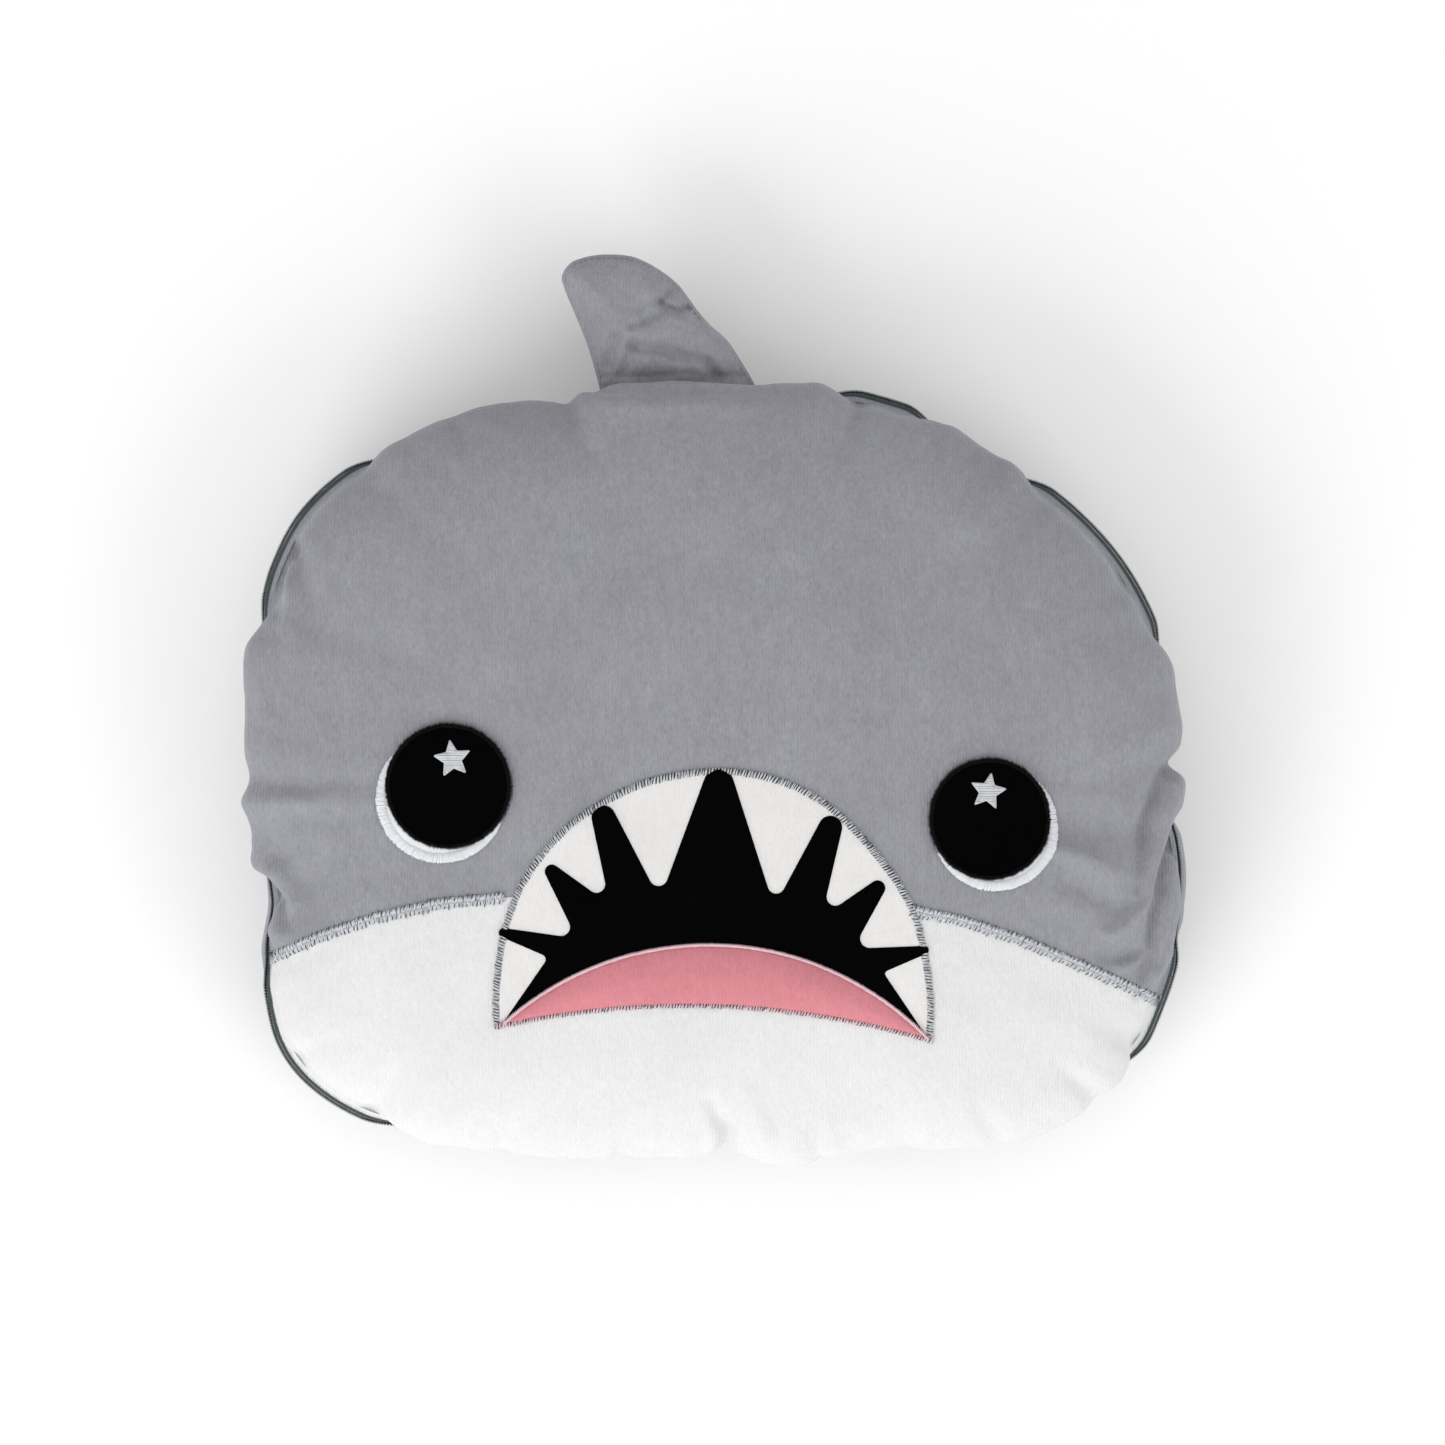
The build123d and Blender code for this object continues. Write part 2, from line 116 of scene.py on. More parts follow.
def arc(left, crest, right, steps):
    """A circular arc from left to right that rises over a crest."""
    (ax, ay), (bx, by), (cx, cy) = left, crest, right
    d = 2 * (ax * (by - cy) + bx * (cy - ay) + cx * (ay - by))
    a2, b2, c2 = ax * ax + ay * ay, bx * bx + by * by, cx * cx + cy * cy
    ux = (a2 * (by - cy) + b2 * (cy - ay) + c2 * (ay - by)) / d
    uy = (a2 * (cx - bx) + b2 * (ax - cx) + c2 * (bx - ax)) / d
    r = hypot(ax - ux, ay - uy)
    t0, t2 = (atan2(y - uy, x - ux) for x, y in (left, right))
    turns = [t0 + (t2 - t0) * k / steps for k in range(steps + 1)]
    return [(ux + r * cos(t), uy + r * sin(t)) for t in turns]


def evenly(path, step, closed=False):
    """Points about a step apart along a path."""
    path = list(path) + ([path[0]] if closed else [])
    lengths = [0.0]
    for a, b in zip(path, path[1:]):
        lengths.append(lengths[-1] + dist(a, b))
    count = max(2, round(lengths[-1] / step))
    out, i = [], 0
    for k in range(count + (0 if closed else 1)):
        target = lengths[-1] * k / count
        while i < len(path) - 2 and lengths[i + 1] < target:
            i += 1
        t = (target - lengths[i]) / max(1e-9, lengths[i + 1] - lengths[i])
        out.append(tuple(a + (b - a) * t for a, b in zip(path[i], path[i + 1])))
    return out


def inside(loop, x, y):
    """Whether a point lies inside a closed loop."""
    odd = False
    for (ax, ay), (bx, by) in zip(loop[-1:] + loop[:-1], loop):
        if (ay > y) != (by > y) and x < (bx - ax) * (y - ay) / (by - ay) + ax:
            odd = not odd
    return odd


def staggered(loop, left, across, up, least):
    """Points in staggered rows inside a loop, further than least from its own points."""
    xs, ys = zip(*loop)
    right, top = max(xs), max(ys)
    y, row, out = min(ys), 0, []
    while y < top:
        x = left + (row % 2) * across / 2
        while x < right:
            if inside(loop, x, y) and min((x - a) ** 2 + (y - b) ** 2 for a, b in loop) > least**2:
                out.append((x, y))
            x += across
        y += up
        row += 1
    return out


def box_mm(node):
    """A CAD node's low and high corners in millimetres."""
    return [[v / MM for v in corner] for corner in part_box(node)]


# --- faces and pieces
def dome_faces(count, rings, flip=False, first=0):
    """Faces of a dome: a point on top, then rings of count points."""
    faces = []
    for k in range(count):
        n = (k + 1) % count
        faces.append((first, first + 1 + k, first + 1 + n))
        for row in range(rings - 1):
            a = first + 1 + row * count
            b = a + count
            faces.append((a + k, b + k, b + n, a + n))
    return [tuple(reversed(f)) for f in faces] if flip else faces


def grid_faces(columns, size, flip=False):
    """Faces of a sheet: columns of size points each."""
    faces = []
    for k in range(columns - 1):
        for a in range(k * size, (k + 1) * size - 1):
            faces.append((a, a + 1, a + size + 1, a + size) if flip else (a, a + size, a + size + 1, a + 1))
    return faces


def tube_faces(first, rings, sides):
    """Faces of a tube of rings."""
    faces = []
    for i in range(rings - 1):
        for k in range(sides):
            a, b = first + i * sides + k, first + i * sides + (k + 1) % sides
            faces.append((a, b, b + sides, a + sides))
    return faces


def turned(flat, tris, face_up=True):
    """Triangles of level points, each wound to face up or down."""
    out = []
    for t in tris:
        a, b, c = (flat[i] for i in t)
        up = (b.x - a.x) * (c.y - a.y) - (b.y - a.y) * (c.x - a.x) > 0
        out.append(tuple(t) if up == face_up else tuple(reversed(t)))
    return out


def add(name, mesh, body, nodes, material):
    """Adds a mesh as a piece that rides on a body and stands for CAD nodes."""
    mesh.polygons.foreach_set("use_smooth", [True] * len(mesh.polygons))
    obj = bpy.data.objects.new(name, mesh)
    scene.collection.objects.link(obj)
    mesh.materials.append(material)
    if body:
        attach(obj, body)
    for node in nodes:
        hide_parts(node)
    return obj


def make(name, points, faces, body, nodes, material, slot=None):
    """A piece from points in millimetres."""
    mesh = bpy.data.meshes.new(name)
    mesh.from_pydata([(x * MM, y * MM, z * MM) for x, y, z in points], [], faces)
    mesh.validate()
    return add(name, mesh, body, nodes, material)


# --- the cushion's outline
silhouette = [
    (12, 166), (54, 165), (69.5, 161.5), (93, 153), (114, 139), (137.5, 126), (156.6, 110.5),
    (173.6, 91), (186, 69), (193, 49), (196, 23), (197, -11), (201, -40), (200, -62), (196, -83),
    (191, -98), (180, -121), (163, -138), (146, -149), (120.5, -157), (91, -159.4), (65, -159.8),
    (44, -164.5), (27, -166), (5, -159.8), (-32.5, -162), (-66.5, -163), (-92, -160.6), (-117.5, -156),
    (-143, -150), (-164, -140), (-179, -127.5), (-188, -113), (-193, -91), (-195, -74), (-193, -53),
    (-199.5, -11), (-201, 15), (-199, 53), (-195, 70), (-190, 89), (-177, 113), (-154, 133),
    (-134.5, 142), (-117.5, 151), (-96, 157), (-83.5, 158.5), (-65, 159.3), (-50, 165.5), (-20, 167.6),
]
polar = sorted((degrees(atan2(y, x)) % 360, hypot(x, y)) for x, y in silhouette)


def outline_radius(angle):
    """The silhouette's radius at an angle in degrees, by a cubic through its points."""
    n = len(polar)
    i = sum(1 for a, _ in polar if a <= angle) - 1
    pick = [polar[(i + k) % n] for k in (-1, 0, 1, 2)]
    a = [p[0] + 360 * ((i + k) // n) for k, p in zip((-1, 0, 1, 2), pick)]
    r = [p[1] for p in pick]
    h = a[2] - a[1]
    t = (angle - a[1]) / h
    m1 = (r[2] - r[0]) / (a[2] - a[0]) * h
    m2 = (r[3] - r[1]) / (a[3] - a[1]) * h
    start, end = (2 * t**3 - 3 * t**2 + 1) * r[1], (-2 * t**3 + 3 * t**2) * r[2]
    return start + (t**3 - 2 * t**2 + t) * m1 + end + (t**3 - t**2) * m2


def within(angle, spans, soft):
    """1 inside any span of degrees, falling to 0 over soft degrees at its ends."""
    return max(smooth(low - soft, low, angle) * (1 - smooth(high, high + soft, angle)) for low, high in spans)


# spans of degrees round the outline where the zip, or the back, shows past the front
zip_shows = [(141, 158), (205, 224), (63, 69), (20, 40), (329, 337)]
back_shows = [(193, 201), (343, 352)]
RINGS = 1440  # samples in the table of radii round the outline
DRAWN_IN_AT_ZIP, DRAWN_IN_AT_BACK = 6.4, 5.0  # how far the front draws in there
SEAM_INSIDE, SEAM_AT_BACK, SEAM_OUT = 4.6, 2.5, 0.7  # the seam inside the outline, and past it at the zip
HEM_IN = 1.6  # the hems stop so far inside the seam, and twice as far where the zip shows
front_radius, seam_radius, back_radius, front_hem = [], [], [], []
for k in range(RINGS):
    angle = 360 * k / RINGS
    outer = outline_radius(angle)
    zip_out, back_out = within(angle, zip_shows, 7), within(angle, back_shows, 5)
    front_radius.append(outer - DRAWN_IN_AT_ZIP * zip_out - DRAWN_IN_AT_BACK * back_out)
    seam = outer - SEAM_INSIDE * (1 - zip_out) * (1 - back_out)
    seam = seam - SEAM_AT_BACK * back_out + SEAM_OUT * zip_out - 0.2
    c, s = cos(radians(angle)), sin(radians(angle))
    straight = CHIN / s if s < -0.3 else 1e9
    on_chin = 1 - smooth(103, 122, abs(c * straight)) if s < -0.3 else 0
    seam = seam * (1 - on_chin) + straight * on_chin
    front_hem.append(seam - HEM_IN - HEM_IN * zip_out * (1 - on_chin))
    seam_radius.append(seam)
    back_radius.append(seam - 1.2 + 3.4 * back_out)


def looked_up(table, angle):
    place = (angle % (2 * pi)) / (2 * pi) * len(table)
    i = int(place)
    t = place - i
    return table[i % len(table)] * (1 - t) + table[(i + 1) % len(table)] * t


# --- the stuffed surfaces
BEND = 0.84  # exponent of the stuffed profile
LAST = radians(138)  # where the face's profile ends, tucked in behind the zip's coil
FOLD_DEPTH = 1.45  # all folds' heights are scaled by this
# (path, width, height) of the folds: ridges stand up and valleys, with a negative height, go in
folds = [
    # the left side, from the zip's end down to the muzzle
    (((-181, 98), (-184, 84), (-188, 70)), 2.6, -2.6), (((-176, 92), (-174, 80), (-170, 62)), 5.5, -1.9),
    (((-181, 90), (-181, 76), (-182, 60)), 3.2, 1.5), (((-197, 52), (-190, 20), (-188, -6)), 6, 0.9),
    (((-198, -1), (-176, -3), (-146, -2)), 5, -1.3), (((-196, -12), (-178, -11), (-147, -11)), 5, 1.7),
    (((-195, -24), (-182, -30), (-170, -31)), 5, -1.2), (((-194, -36), (-186, -39), (-178, -54)), 3.2, 2.6),
    (((-192, -47), (-186, -53), (-182, -62)), 3.2, -3), (((-184, -34), (-174, -46), (-172, -58)), 5, -1.3),
    (((-188, -66), (-178, -70), (-166, -69)), 4, 1.2), (((-160, -30), (-150, -48)), 8, 0.9),
    # the right side: a deep tuck, the pleat beside it and the folds that run in from them
    (((197, 8), (190, 0), (184, -16), (180, -32), (177, -47)), 3.4, -3.8),
    (((198, 4), (192, -14), (187, -34), (184, -48)), 3.6, 1.9),
    (((198, -18), (192, -36), (188, -54), (183, -74), (179, -92)), 2.8, -4.2),
    (((203, -26), (199, -50), (193, -76)), 4.5, 1.6), (((144, -31), (160, -37), (176, -44)), 4.5, 2),
    (((148, -19), (164, -22), (178, -28)), 7, -1.7), (((150, -46), (164, -53), (176, -56)), 5, -1.5),
    (((166, -66), (178, -60), (188, -53)), 3.4, 2.3), (((164, -76), (174, -74), (184, -68)), 3.4, -1.5),
    (((170, -81), (178, -78), (184, -74)), 2.8, 1.4), (((182, -90), (187, -84), (191, -76)), 3, 1.6),
    (((190, 20), (176, 10), (160, 6)), 8, 1.1), (((188, 8), (172, 0), (152, -4)), 8, -1.1),
    # the top, beside the fin and at both shoulders
    (((-64, 158), (-58, 150), (-52, 136)), 4.5, -1.5), (((-52, 164), (-20, 163), (22, 163)), 3, -1.6),
    (((-46, 158), (-20, 156), (20, 157)), 4, 1), (((-110, 147), (-102, 134)), 6, -0.9),
    (((62, 166), (60, 152), (54, 138)), 4.5, -1.5), (((96, 152), (88, 138)), 6, -1),
    (((116, 130), (106, 116)), 6, -1), (((178, 86), (164, 74)), 6, -1.3),
    (((-146, 128), (-134, 114)), 7, -0.8),
    # the chin and the lower corners
    (((4, -162), (3, -150), (-2, -138)), 3.2, -3.2), (((20, -153), (19, -148), (14, -136)), 5, 1.5),
    (((44, -164), (40, -150)), 4.5, -1.4), (((-14, -161), (-16, -148)), 6, 1),
    (((-40, -163), (-34, -148)), 4.5, -1.3), (((-92, -161), (-84, -146)), 5, -1.3),
    (((-120, -156), (-108, -142)), 5, 1), (((-150, -148), (-138, -132)), 5, -1.6),
    (((-182, -124), (-166, -114)), 5, -1.6), (((162, -139), (148, -126)), 5, -1.7),
    (((184, -118), (168, -108)), 5, -1.5), (((120, -157), (112, -142)), 5, -1.4),
    (((80, -160), (78, -146)), 5, -1.2),
]
fold_boxes = []  # where each fold reaches
for path, width, _ in folds:
    xs, ys = zip(*path)
    fold_boxes.append((min(xs) - 3 * width, max(xs) + 3 * width, min(ys) - 3 * width, max(ys) + 3 * width))


def profile(angle, q, side):
    """A point of the smooth stuffed surface: side +1 is the face and -1 the back."""
    psi = q * LAST
    if side > 0:
        widest, hem_r = looked_up(front_radius, angle), looked_up(front_hem, angle)
        belt, peak = SEAM + 15, TOP - 1.2
    else:
        widest, hem_r = looked_up(back_radius, angle), looked_up(seam_radius, angle) - HEM_IN
        belt, peak = SEAM - 13, -6.0
    if psi <= pi / 2:
        r = widest * sin(psi) ** BEND
        z = belt + (peak - belt) * max(0.0, cos(psi)) ** BEND
    else:
        k = (psi - pi / 2) / (LAST - pi / 2) * pi / 2
        r = widest + (hem_r - widest) * (1 - cos(k))
        z = belt + (SEAM + 3.2 * side - belt) * sin(k)
    return Vector((r * cos(angle), r * sin(angle), z))


def wrinkle(angle, q, side):
    """How far the fabric stands in or out of its smooth surface."""
    p = profile(angle, q, side)
    r = hypot(p.x, p.y)
    around = 190 * angle
    inward = max(0.0, looked_up(front_radius, angle) - r) if q * LAST < pi / 2 else 0.0
    calm = 1 - smooth(0.86, 1.0, q)
    d = 1.7 * wobble(p.x / 62, p.y / 62, 3.1 + side)
    d += 0.5 * wobble(p.x / 21, p.y / 21, 9.4 * side)
    # gathers that run in from the seam, longer and shorter ones mixed
    reach = 9 + 9 * wobble(cos(angle) * 9, sin(angle) * 9, 5.0)
    gather = wobble(around / 7.5, 0.4 * inward / 9, 11.0 * side)
    wide = wobble(around / 17.0, 0.3 * inward / 14, 4.0 * side)
    steep = 0.2 + 0.8 * smooth(0.5, 9.0, inward)  # the silhouette itself stays smooth
    d += steep * (1.1 * gather + 2.0 * wide) * exp(-inward / max(6.0, reach * 1.25))
    if side > 0:
        wave = 2.2 * wobble(p.x / 16, p.y / 16, 6.0)  # so that no fold runs ruler-straight
        for (path, width, height), (x0, x1, y0, y1) in zip(folds, fold_boxes):
            if x0 < p.x < x1 and y0 < p.y < y1:
                distance, t = to_path(p.x + wave, p.y - wave, path)
                d += FOLD_DEPTH * height * bell(distance, width) * (1 - 0.6 * smooth(0.4, 1.0, t))
    return d * calm


def surface(angle, q, side=1, lift=0.0):
    """A point of the fabric, raised by lift along its own normal."""
    p = profile(angle, q, side)
    step = 0.004
    along = profile(angle, min(1, q + step), side) - profile(angle, max(0, q - step), side)
    across = profile(angle + 0.01, q, side) - profile(angle - 0.01, q, side)
    normal = along.cross(across) * side
    if normal.length < 1e-9 or q < 0.003:
        normal = Vector((0, 0, side))
    normal.normalize()
    if normal.z * side < -0.3 and q * LAST < pi / 2:
        normal.negate()
    p += normal * (lift + wrinkle(angle, q, side))
    if side < 0:  # the back settles flat on the ground, with a soft edge round the flat
        p.z = 0.5 * (p.z + 0.35 + sqrt((p.z - 0.35) ** 2 + 1.5))
        p.z = max(0.12, p.z - 0.55)
    return p


VIEW_X, VIEW_Y, VIEW_Z, VIEW_LEVEL = 2.5, 22.3, 3060.0, 60.0  # the eye's place, and the level drawn true


def drawn(p):
    """Where a point of the face is drawn on the level plane, seen from the eye."""
    k = (VIEW_Z - VIEW_LEVEL) / (VIEW_Z - p.z)
    return VIEW_X + (p.x - VIEW_X) * k, VIEW_Y + (p.y - VIEW_Y) * k


def share_at(x, y):
    """Angle and profile share of the face's point that lies under a plan position."""
    angle = atan2(y, x)
    rho = min(0.9995, hypot(x, y) / looked_up(front_radius, angle))
    return angle, asin(rho ** (1 / BEND)) / LAST


def face_point(x, y, lift):
    """The point of the face that is drawn at (x, y) on the level plane, raised by lift."""
    angle, q = share_at(x, y)
    k = (VIEW_Z - profile(angle, q, 1).z) / (VIEW_Z - VIEW_LEVEL)
    angle, q = share_at(VIEW_X + (x - VIEW_X) * k, VIEW_Y + (y - VIEW_Y) * k)
    return surface(angle, q, 1, lift)


muzzle_line = [  # the border between grey and white, from left to right
    (-215, -95.5), (-188, -77.5), (-168, -68.6), (-145, -60.8), (-117, -54.6), (-91, -52.2), (0, -48),
    (82, -57.4), (103, -61.5), (129, -70), (154, -80.6), (176, -90.4), (192, -98.2), (215, -106),
]


def muzzle_height(x):
    """The muzzle border's Y at an X."""
    for (a, ya), (b, yb) in zip(muzzle_line, muzzle_line[1:]):
        if x <= b:
            return ya + (yb - ya) * max(0.0, (x - a) / (b - a))
    return muzzle_line[-1][1]


SEGMENTS, ROWS = 880, 136  # points round each half, and rings from its middle to its edge


def build_half(side, split):
    """Points and faces of one half, tucked in by a short hem, and which points lie below the border."""
    place, below = [surface(0, 0, side)], [False]
    for row in range(1, ROWS + 1):
        for k in range(SEGMENTS):
            angle, q = 2 * pi * k / SEGMENTS, row / ROWS
            flat = profile(angle, min(q, pi / 2 / LAST), side)
            x, y = drawn(flat)
            gap = y - muzzle_height(x)
            below.append(gap < 0)
            if split and abs(gap) < 1.3 and q * LAST < pi / 2 - 0.05:
                angle, q = share_at(flat.x, flat.y - gap)  # the cut edge runs exactly along the border
            place.append(surface(angle, q, side))
    for edge in place[-SEGMENTS:]:
        inwards = 1 - 2.2 / hypot(edge.x, edge.y)
        place.append(Vector((edge.x, edge.y, 0)) * inwards + Vector((0, 0, edge.z + side * 0.6)))
    below += below[-SEGMENTS:]
    return place, dome_faces(SEGMENTS, ROWS + 1, side < 0), below


def used_only(points, faces):
    """Drops the points that no face uses."""
    order = {}
    for f in faces:
        for v in f:
            order.setdefault(v, len(order))
    kept = [None] * len(order)
    for old, new in order.items():
        kept[new] = points[old]
    return kept, [tuple(order[v] for v in f) for f in faces]


# --- materials
class Material:
    """A Principled material with procedural colour and bump."""

    def __init__(self, name, values):
        self.material = bpy.data.materials.new(name)
        self.material.use_nodes = True
        self.tree = self.material.node_tree
        self.shader = self.tree.nodes["Principled BSDF"]
        self.fill(self.shader, values)
        self.coords = self.tree.nodes.new("ShaderNodeTexCoord").outputs["Object"]

    def fill(self, node, values):
        """Sets a node's inputs, or links them."""
        for key, value in values.items():
            if isinstance(value, bpy.types.NodeSocket):
                self.tree.links.new(value, node.inputs[key])
            else:
                node.inputs[key].default_value = value

    def node(self, kind, values, operation=None):
        node = self.tree.nodes.new("ShaderNode" + kind)
        if operation:
            node.operation = operation
        self.fill(node, values)
        return node

    def noise(self, scale, detail, stretch=(1, 1, 1), rough=0.55):
        place = self.node("Mapping", {"Vector": self.coords, "Scale": stretch}).outputs["Vector"]
        values = {"Vector": place, "Scale": scale, "Detail": detail, "Roughness": rough}
        return self.node("TexNoise", values).outputs["Fac"]

    def waves(self, scale, axis, distortion):
        texture = self.node("TexWave", {
            "Vector": self.coords, "Scale": scale, "Distortion": distortion, "Detail": 2, "Detail Scale": 3,
        })
        texture.bands_direction = axis
        return texture.outputs["Fac"]

    def mapped(self, fac, low, high, start=0.25, end=0.75):
        values = {"Value": fac, "From Min": start, "From Max": end, "To Min": low, "To Max": high}
        return self.node("MapRange", values).outputs["Result"]

    def joined(self, operation, a, b):
        return self.node("Math", {0: a, 1: b}, operation).outputs[0]

    def finished(self, colour, light, height, strength, distance):
        """The colour, made lighter and darker by light, over a bump of height."""
        scaled = self.node("VectorMath", {0: colour, "Scale": light}, "SCALE")
        bumped = self.node("Bump", {"Strength": strength, "Distance": distance, "Height": height})
        self.fill(self.shader, {"Base Color": scaled.outputs["Vector"], "Normal": bumped.outputs["Normal"]})
        return self.material


def fabric(
    name, colour, *, pile=0, rib=0, weave=0, sheen=0.3, rough=0.9, gloss=0.12, vary=0.1, bump=0.3, tint=None
):
    """Cloth with fine fibre, ribs or weave with painted shade in their hollows, patches of brushed pile in
    painted sheen, and a soft sheen.
    """
    tint = tuple(min(1.0, v * 1.25) for v in tint or colour) + (1.0,)
    m = Material(name, {
        "Roughness": rough, "Sheen Weight": sheen, "Sheen Roughness": 0.38, "Sheen Tint": tint,
        "Specular IOR Level": gloss,
    })
    # colour: broad patches of painted sheen where the pile is brushed different ways, small mottling, and
    # each fibre's own light and dark
    light = m.mapped(m.noise(22, 3), 1 - vary * 0.5, 1 + vary * 0.5)
    for scale, detail, along, rough_, share in (
        (260, 3, 0.45, 0.55, 0.5), (620, 2, 0.6, 0.6, 0.5), (1500, 2, 0.3, 0.7, 0.8),
    ):
        texture = m.noise(scale, detail, (1, along, 1), rough_)
        light = m.joined("MULTIPLY", light, m.mapped(texture, 1 - vary * share, 1 + vary * share))
    height = m.noise(1500, 3, (1, 0.3, 1), 0.7)
    if rib:
        ribs = m.waves(rib, "X", 2.5)
        # painted light and shade: the ribs' crests are painted lighter and their grooves darker, in step with
        # their bump
        light = m.joined("MULTIPLY", light, m.mapped(ribs, 1 - vary * 0.16, 1 + vary * 0.16))
        height = m.joined("ADD", height, m.mapped(ribs, 0.0, 0.35))
    if pile:
        height = m.joined("ADD", height, m.mapped(m.noise(520, 2, (1, 0.4, 1)), 0.0, pile))
    if weave:
        cross = m.joined("MULTIPLY", m.waves(weave, "X", 0.2), m.waves(weave, "Y", 0.2))
        # painted light and shade: the weave's crossings are painted lighter and its hollows darker, in step
        # with its bump
        light = m.joined("MULTIPLY", light, m.mapped(cross, 1 - vary * 0.6, 1 + vary * 0.4))
        height = m.joined("ADD", height, m.mapped(cross, 0.0, 1.2))
    return m.finished(colour, light, height, bump, 0.0006)


def hard(name, colour, metallic, rough, wear=0.08):
    """Enamelled metal or nylon with small scuffs in colour and gloss."""
    m = Material(name, {"Metallic": metallic})
    scuff = m.noise(900, 5, rough=0.5)
    m.fill(m.shader, {"Roughness": m.mapped(scuff, rough - wear, rough + wear, 0, 1)})
    return m.finished(colour, m.mapped(scuff, 1 - 2 * wear, 1 + 2 * wear, 0, 1), scuff, 0.2, 0.0001)


RIB = 230  # the plush's fine ribs
GREY = fabric(
    "grey plush", (0.272, 0.274, 0.299), pile=0.9, rib=RIB, sheen=0.34, vary=0.13, bump=0.6,
    tint=(0.66, 0.68, 0.73),
)
WHITE = fabric("white plush", (0.67, 0.67, 0.67), pile=0.8, rib=RIB, sheen=0.15, vary=0.04, bump=0.55)
TEETH = fabric("tooth cloth", (0.68, 0.672, 0.66), pile=0.5, rib=280, sheen=0.12, vary=0.04, bump=0.45)
BLACK = fabric(
    "black plush", (0.0010, 0.0010, 0.0012), pile=0.8, rib=RIB, sheen=0.0, gloss=0.015, vary=0.3, bump=0.4
)
PINK = fabric(
    "pink plush", (0.57, 0.207, 0.238), pile=0.8, rib=RIB, sheen=0.15, vary=0.08, bump=0.55,
    tint=(0.9, 0.5, 0.55),
)
SATIN = fabric("white satin stitching", (0.73, 0.745, 0.77), rough=0.42, gloss=0.35, vary=0.06)
SILVER = fabric("silver thread", (0.56, 0.575, 0.60), sheen=0.2, rough=0.4, gloss=0.35, vary=0.12)
# painted shade: this dark thread, laid between and beside the light stitches, stands in for the shade on the
# shiny grey satin stitching
THREAD_SHADE = fabric("painted shade thread", (0.050, 0.058, 0.066), sheen=0.1, rough=0.5, vary=0.25)
BLUSH = fabric("blush thread", (0.70, 0.49, 0.53), sheen=0.2, rough=0.4, gloss=0.3, vary=0.12)
DUSK = fabric("grey thread", (0.19, 0.195, 0.21), sheen=0.2, rough=0.5, vary=0.15)
JET = fabric("black thread", (0.0025, 0.0025, 0.003), sheen=0.0, rough=0.6, gloss=0.05, vary=0.3)
LINING = fabric("lining cloth", (0.60, 0.61, 0.62), weave=520, sheen=0.1, vary=0.08, bump=0.4)
INNER = fabric("inner cushion cloth", (0.74, 0.74, 0.725), weave=360, sheen=0.1, vary=0.08, bump=0.45)
TAPE = fabric("zip tape cloth", (0.085, 0.105, 0.11), weave=700, sheen=0.15, vary=0.14, bump=0.4)
FIBRE = fabric("loose fibre", (0.80, 0.80, 0.79), pile=1.0, sheen=0.4, bump=0.9)
NYLON = hard("zip nylon", (0.040, 0.058, 0.060), 0.0, 0.36)
ENAMEL = hard("enamelled zinc", (0.10, 0.11, 0.11), 0.75, 0.34)

# --- the two plush halves
face_points, face_faces, under_line = build_half(1, True)

def is_muzzle(face):
    return sum(under_line[v] for v in face) * 2 > len(face)


upper = used_only(face_points, [f for f in face_faces if not is_muzzle(f)])
lower = used_only(face_points, [f for f in face_faces if is_muzzle(f)])
face_cloth = make("face_panel_plush", *upper, "front_cover", ["face_panel"], GREY)
muzzle_cloth = make("muzzle_panel_plush", *lower, "front_cover", ["muzzle_panel"], WHITE)
back_points, back_faces, _ = build_half(-1, False)
back_cloth = make("back_panel_plush", *used_only(back_points, back_faces), "back_cover", ["back_panel"], GREY)

# --- patches sewn on the face
GRID, EDGE = 2.6, 0.7  # spacing of a patch's inner points, and of the first ring inside its rim
FAR = 9.0  # stands for any place well inside the rim


def patch(name, outline, lift, thick, nodes, material, crown=0.0):
    """A thin padded piece of cloth that follows the face, with its rim sunk into the cloth below.

    outline is a closed path in plan; lift is the height of its underside, thick its thickness at the
    rim, and crown how much more it stands proud far from the rim.
    """
    rim = evenly(outline, 1.3, closed=True)
    if sum(a[0] * b[1] - b[0] * a[1] for a, b in zip(rim, rim[1:] + rim[:1])) < 0:
        rim.reverse()
    n = len(rim)

    def depth(p):
        best = 1e9
        for a in rim:
            dx, dy = p[0] - a[0], p[1] - a[1]
            best = min(best, dx * dx + dy * dy)
        return sqrt(best)

    points = [(p, 0.0) for p in rim]
    for step, least in ((EDGE, EDGE * 0.6), (EDGE * 2.6, EDGE * 1.9)):
        for i, p in enumerate(rim):
            a, b = rim[i - 1], rim[(i + 1) % n]
            tx, ty = b[0] - a[0], b[1] - a[1]
            length = hypot(tx, ty) or 1
            p = (p[0] - ty / length * step, p[1] + tx / length * step)
            if inside(rim, *p) and depth(p) > least:
                points.append((p, step))
    left = min(x for x, _ in rim)
    points += [(p, FAR) for p in staggered(rim, left, GRID, GRID * 0.87, EDGE * 2.6 + GRID * 0.5)]
    loop = [(i, (i + 1) % n) for i in range(n)]
    flat, _, tris, *_ = delaunay_2d_cdt([Vector(p) for p, _ in points], loop, [], 1, 0.01)
    levels = {(round(p[0], 2), round(p[1], 2)): level for p, level in points}
    placed = []
    for v in flat:
        level = levels.get((round(v.x, 2), round(v.y, 2)), FAR)
        rise = -0.25 if level == 0.0 else (0.78 * thick if level == EDGE else thick)
        if crown and level:
            rise += crown * (1 - exp(-depth(v) / 6.0))
        placed.append(face_point(v.x, v.y, lift + rise))
    return make(name, *used_only(placed, turned(flat, tris)), "front_cover", nodes, material)


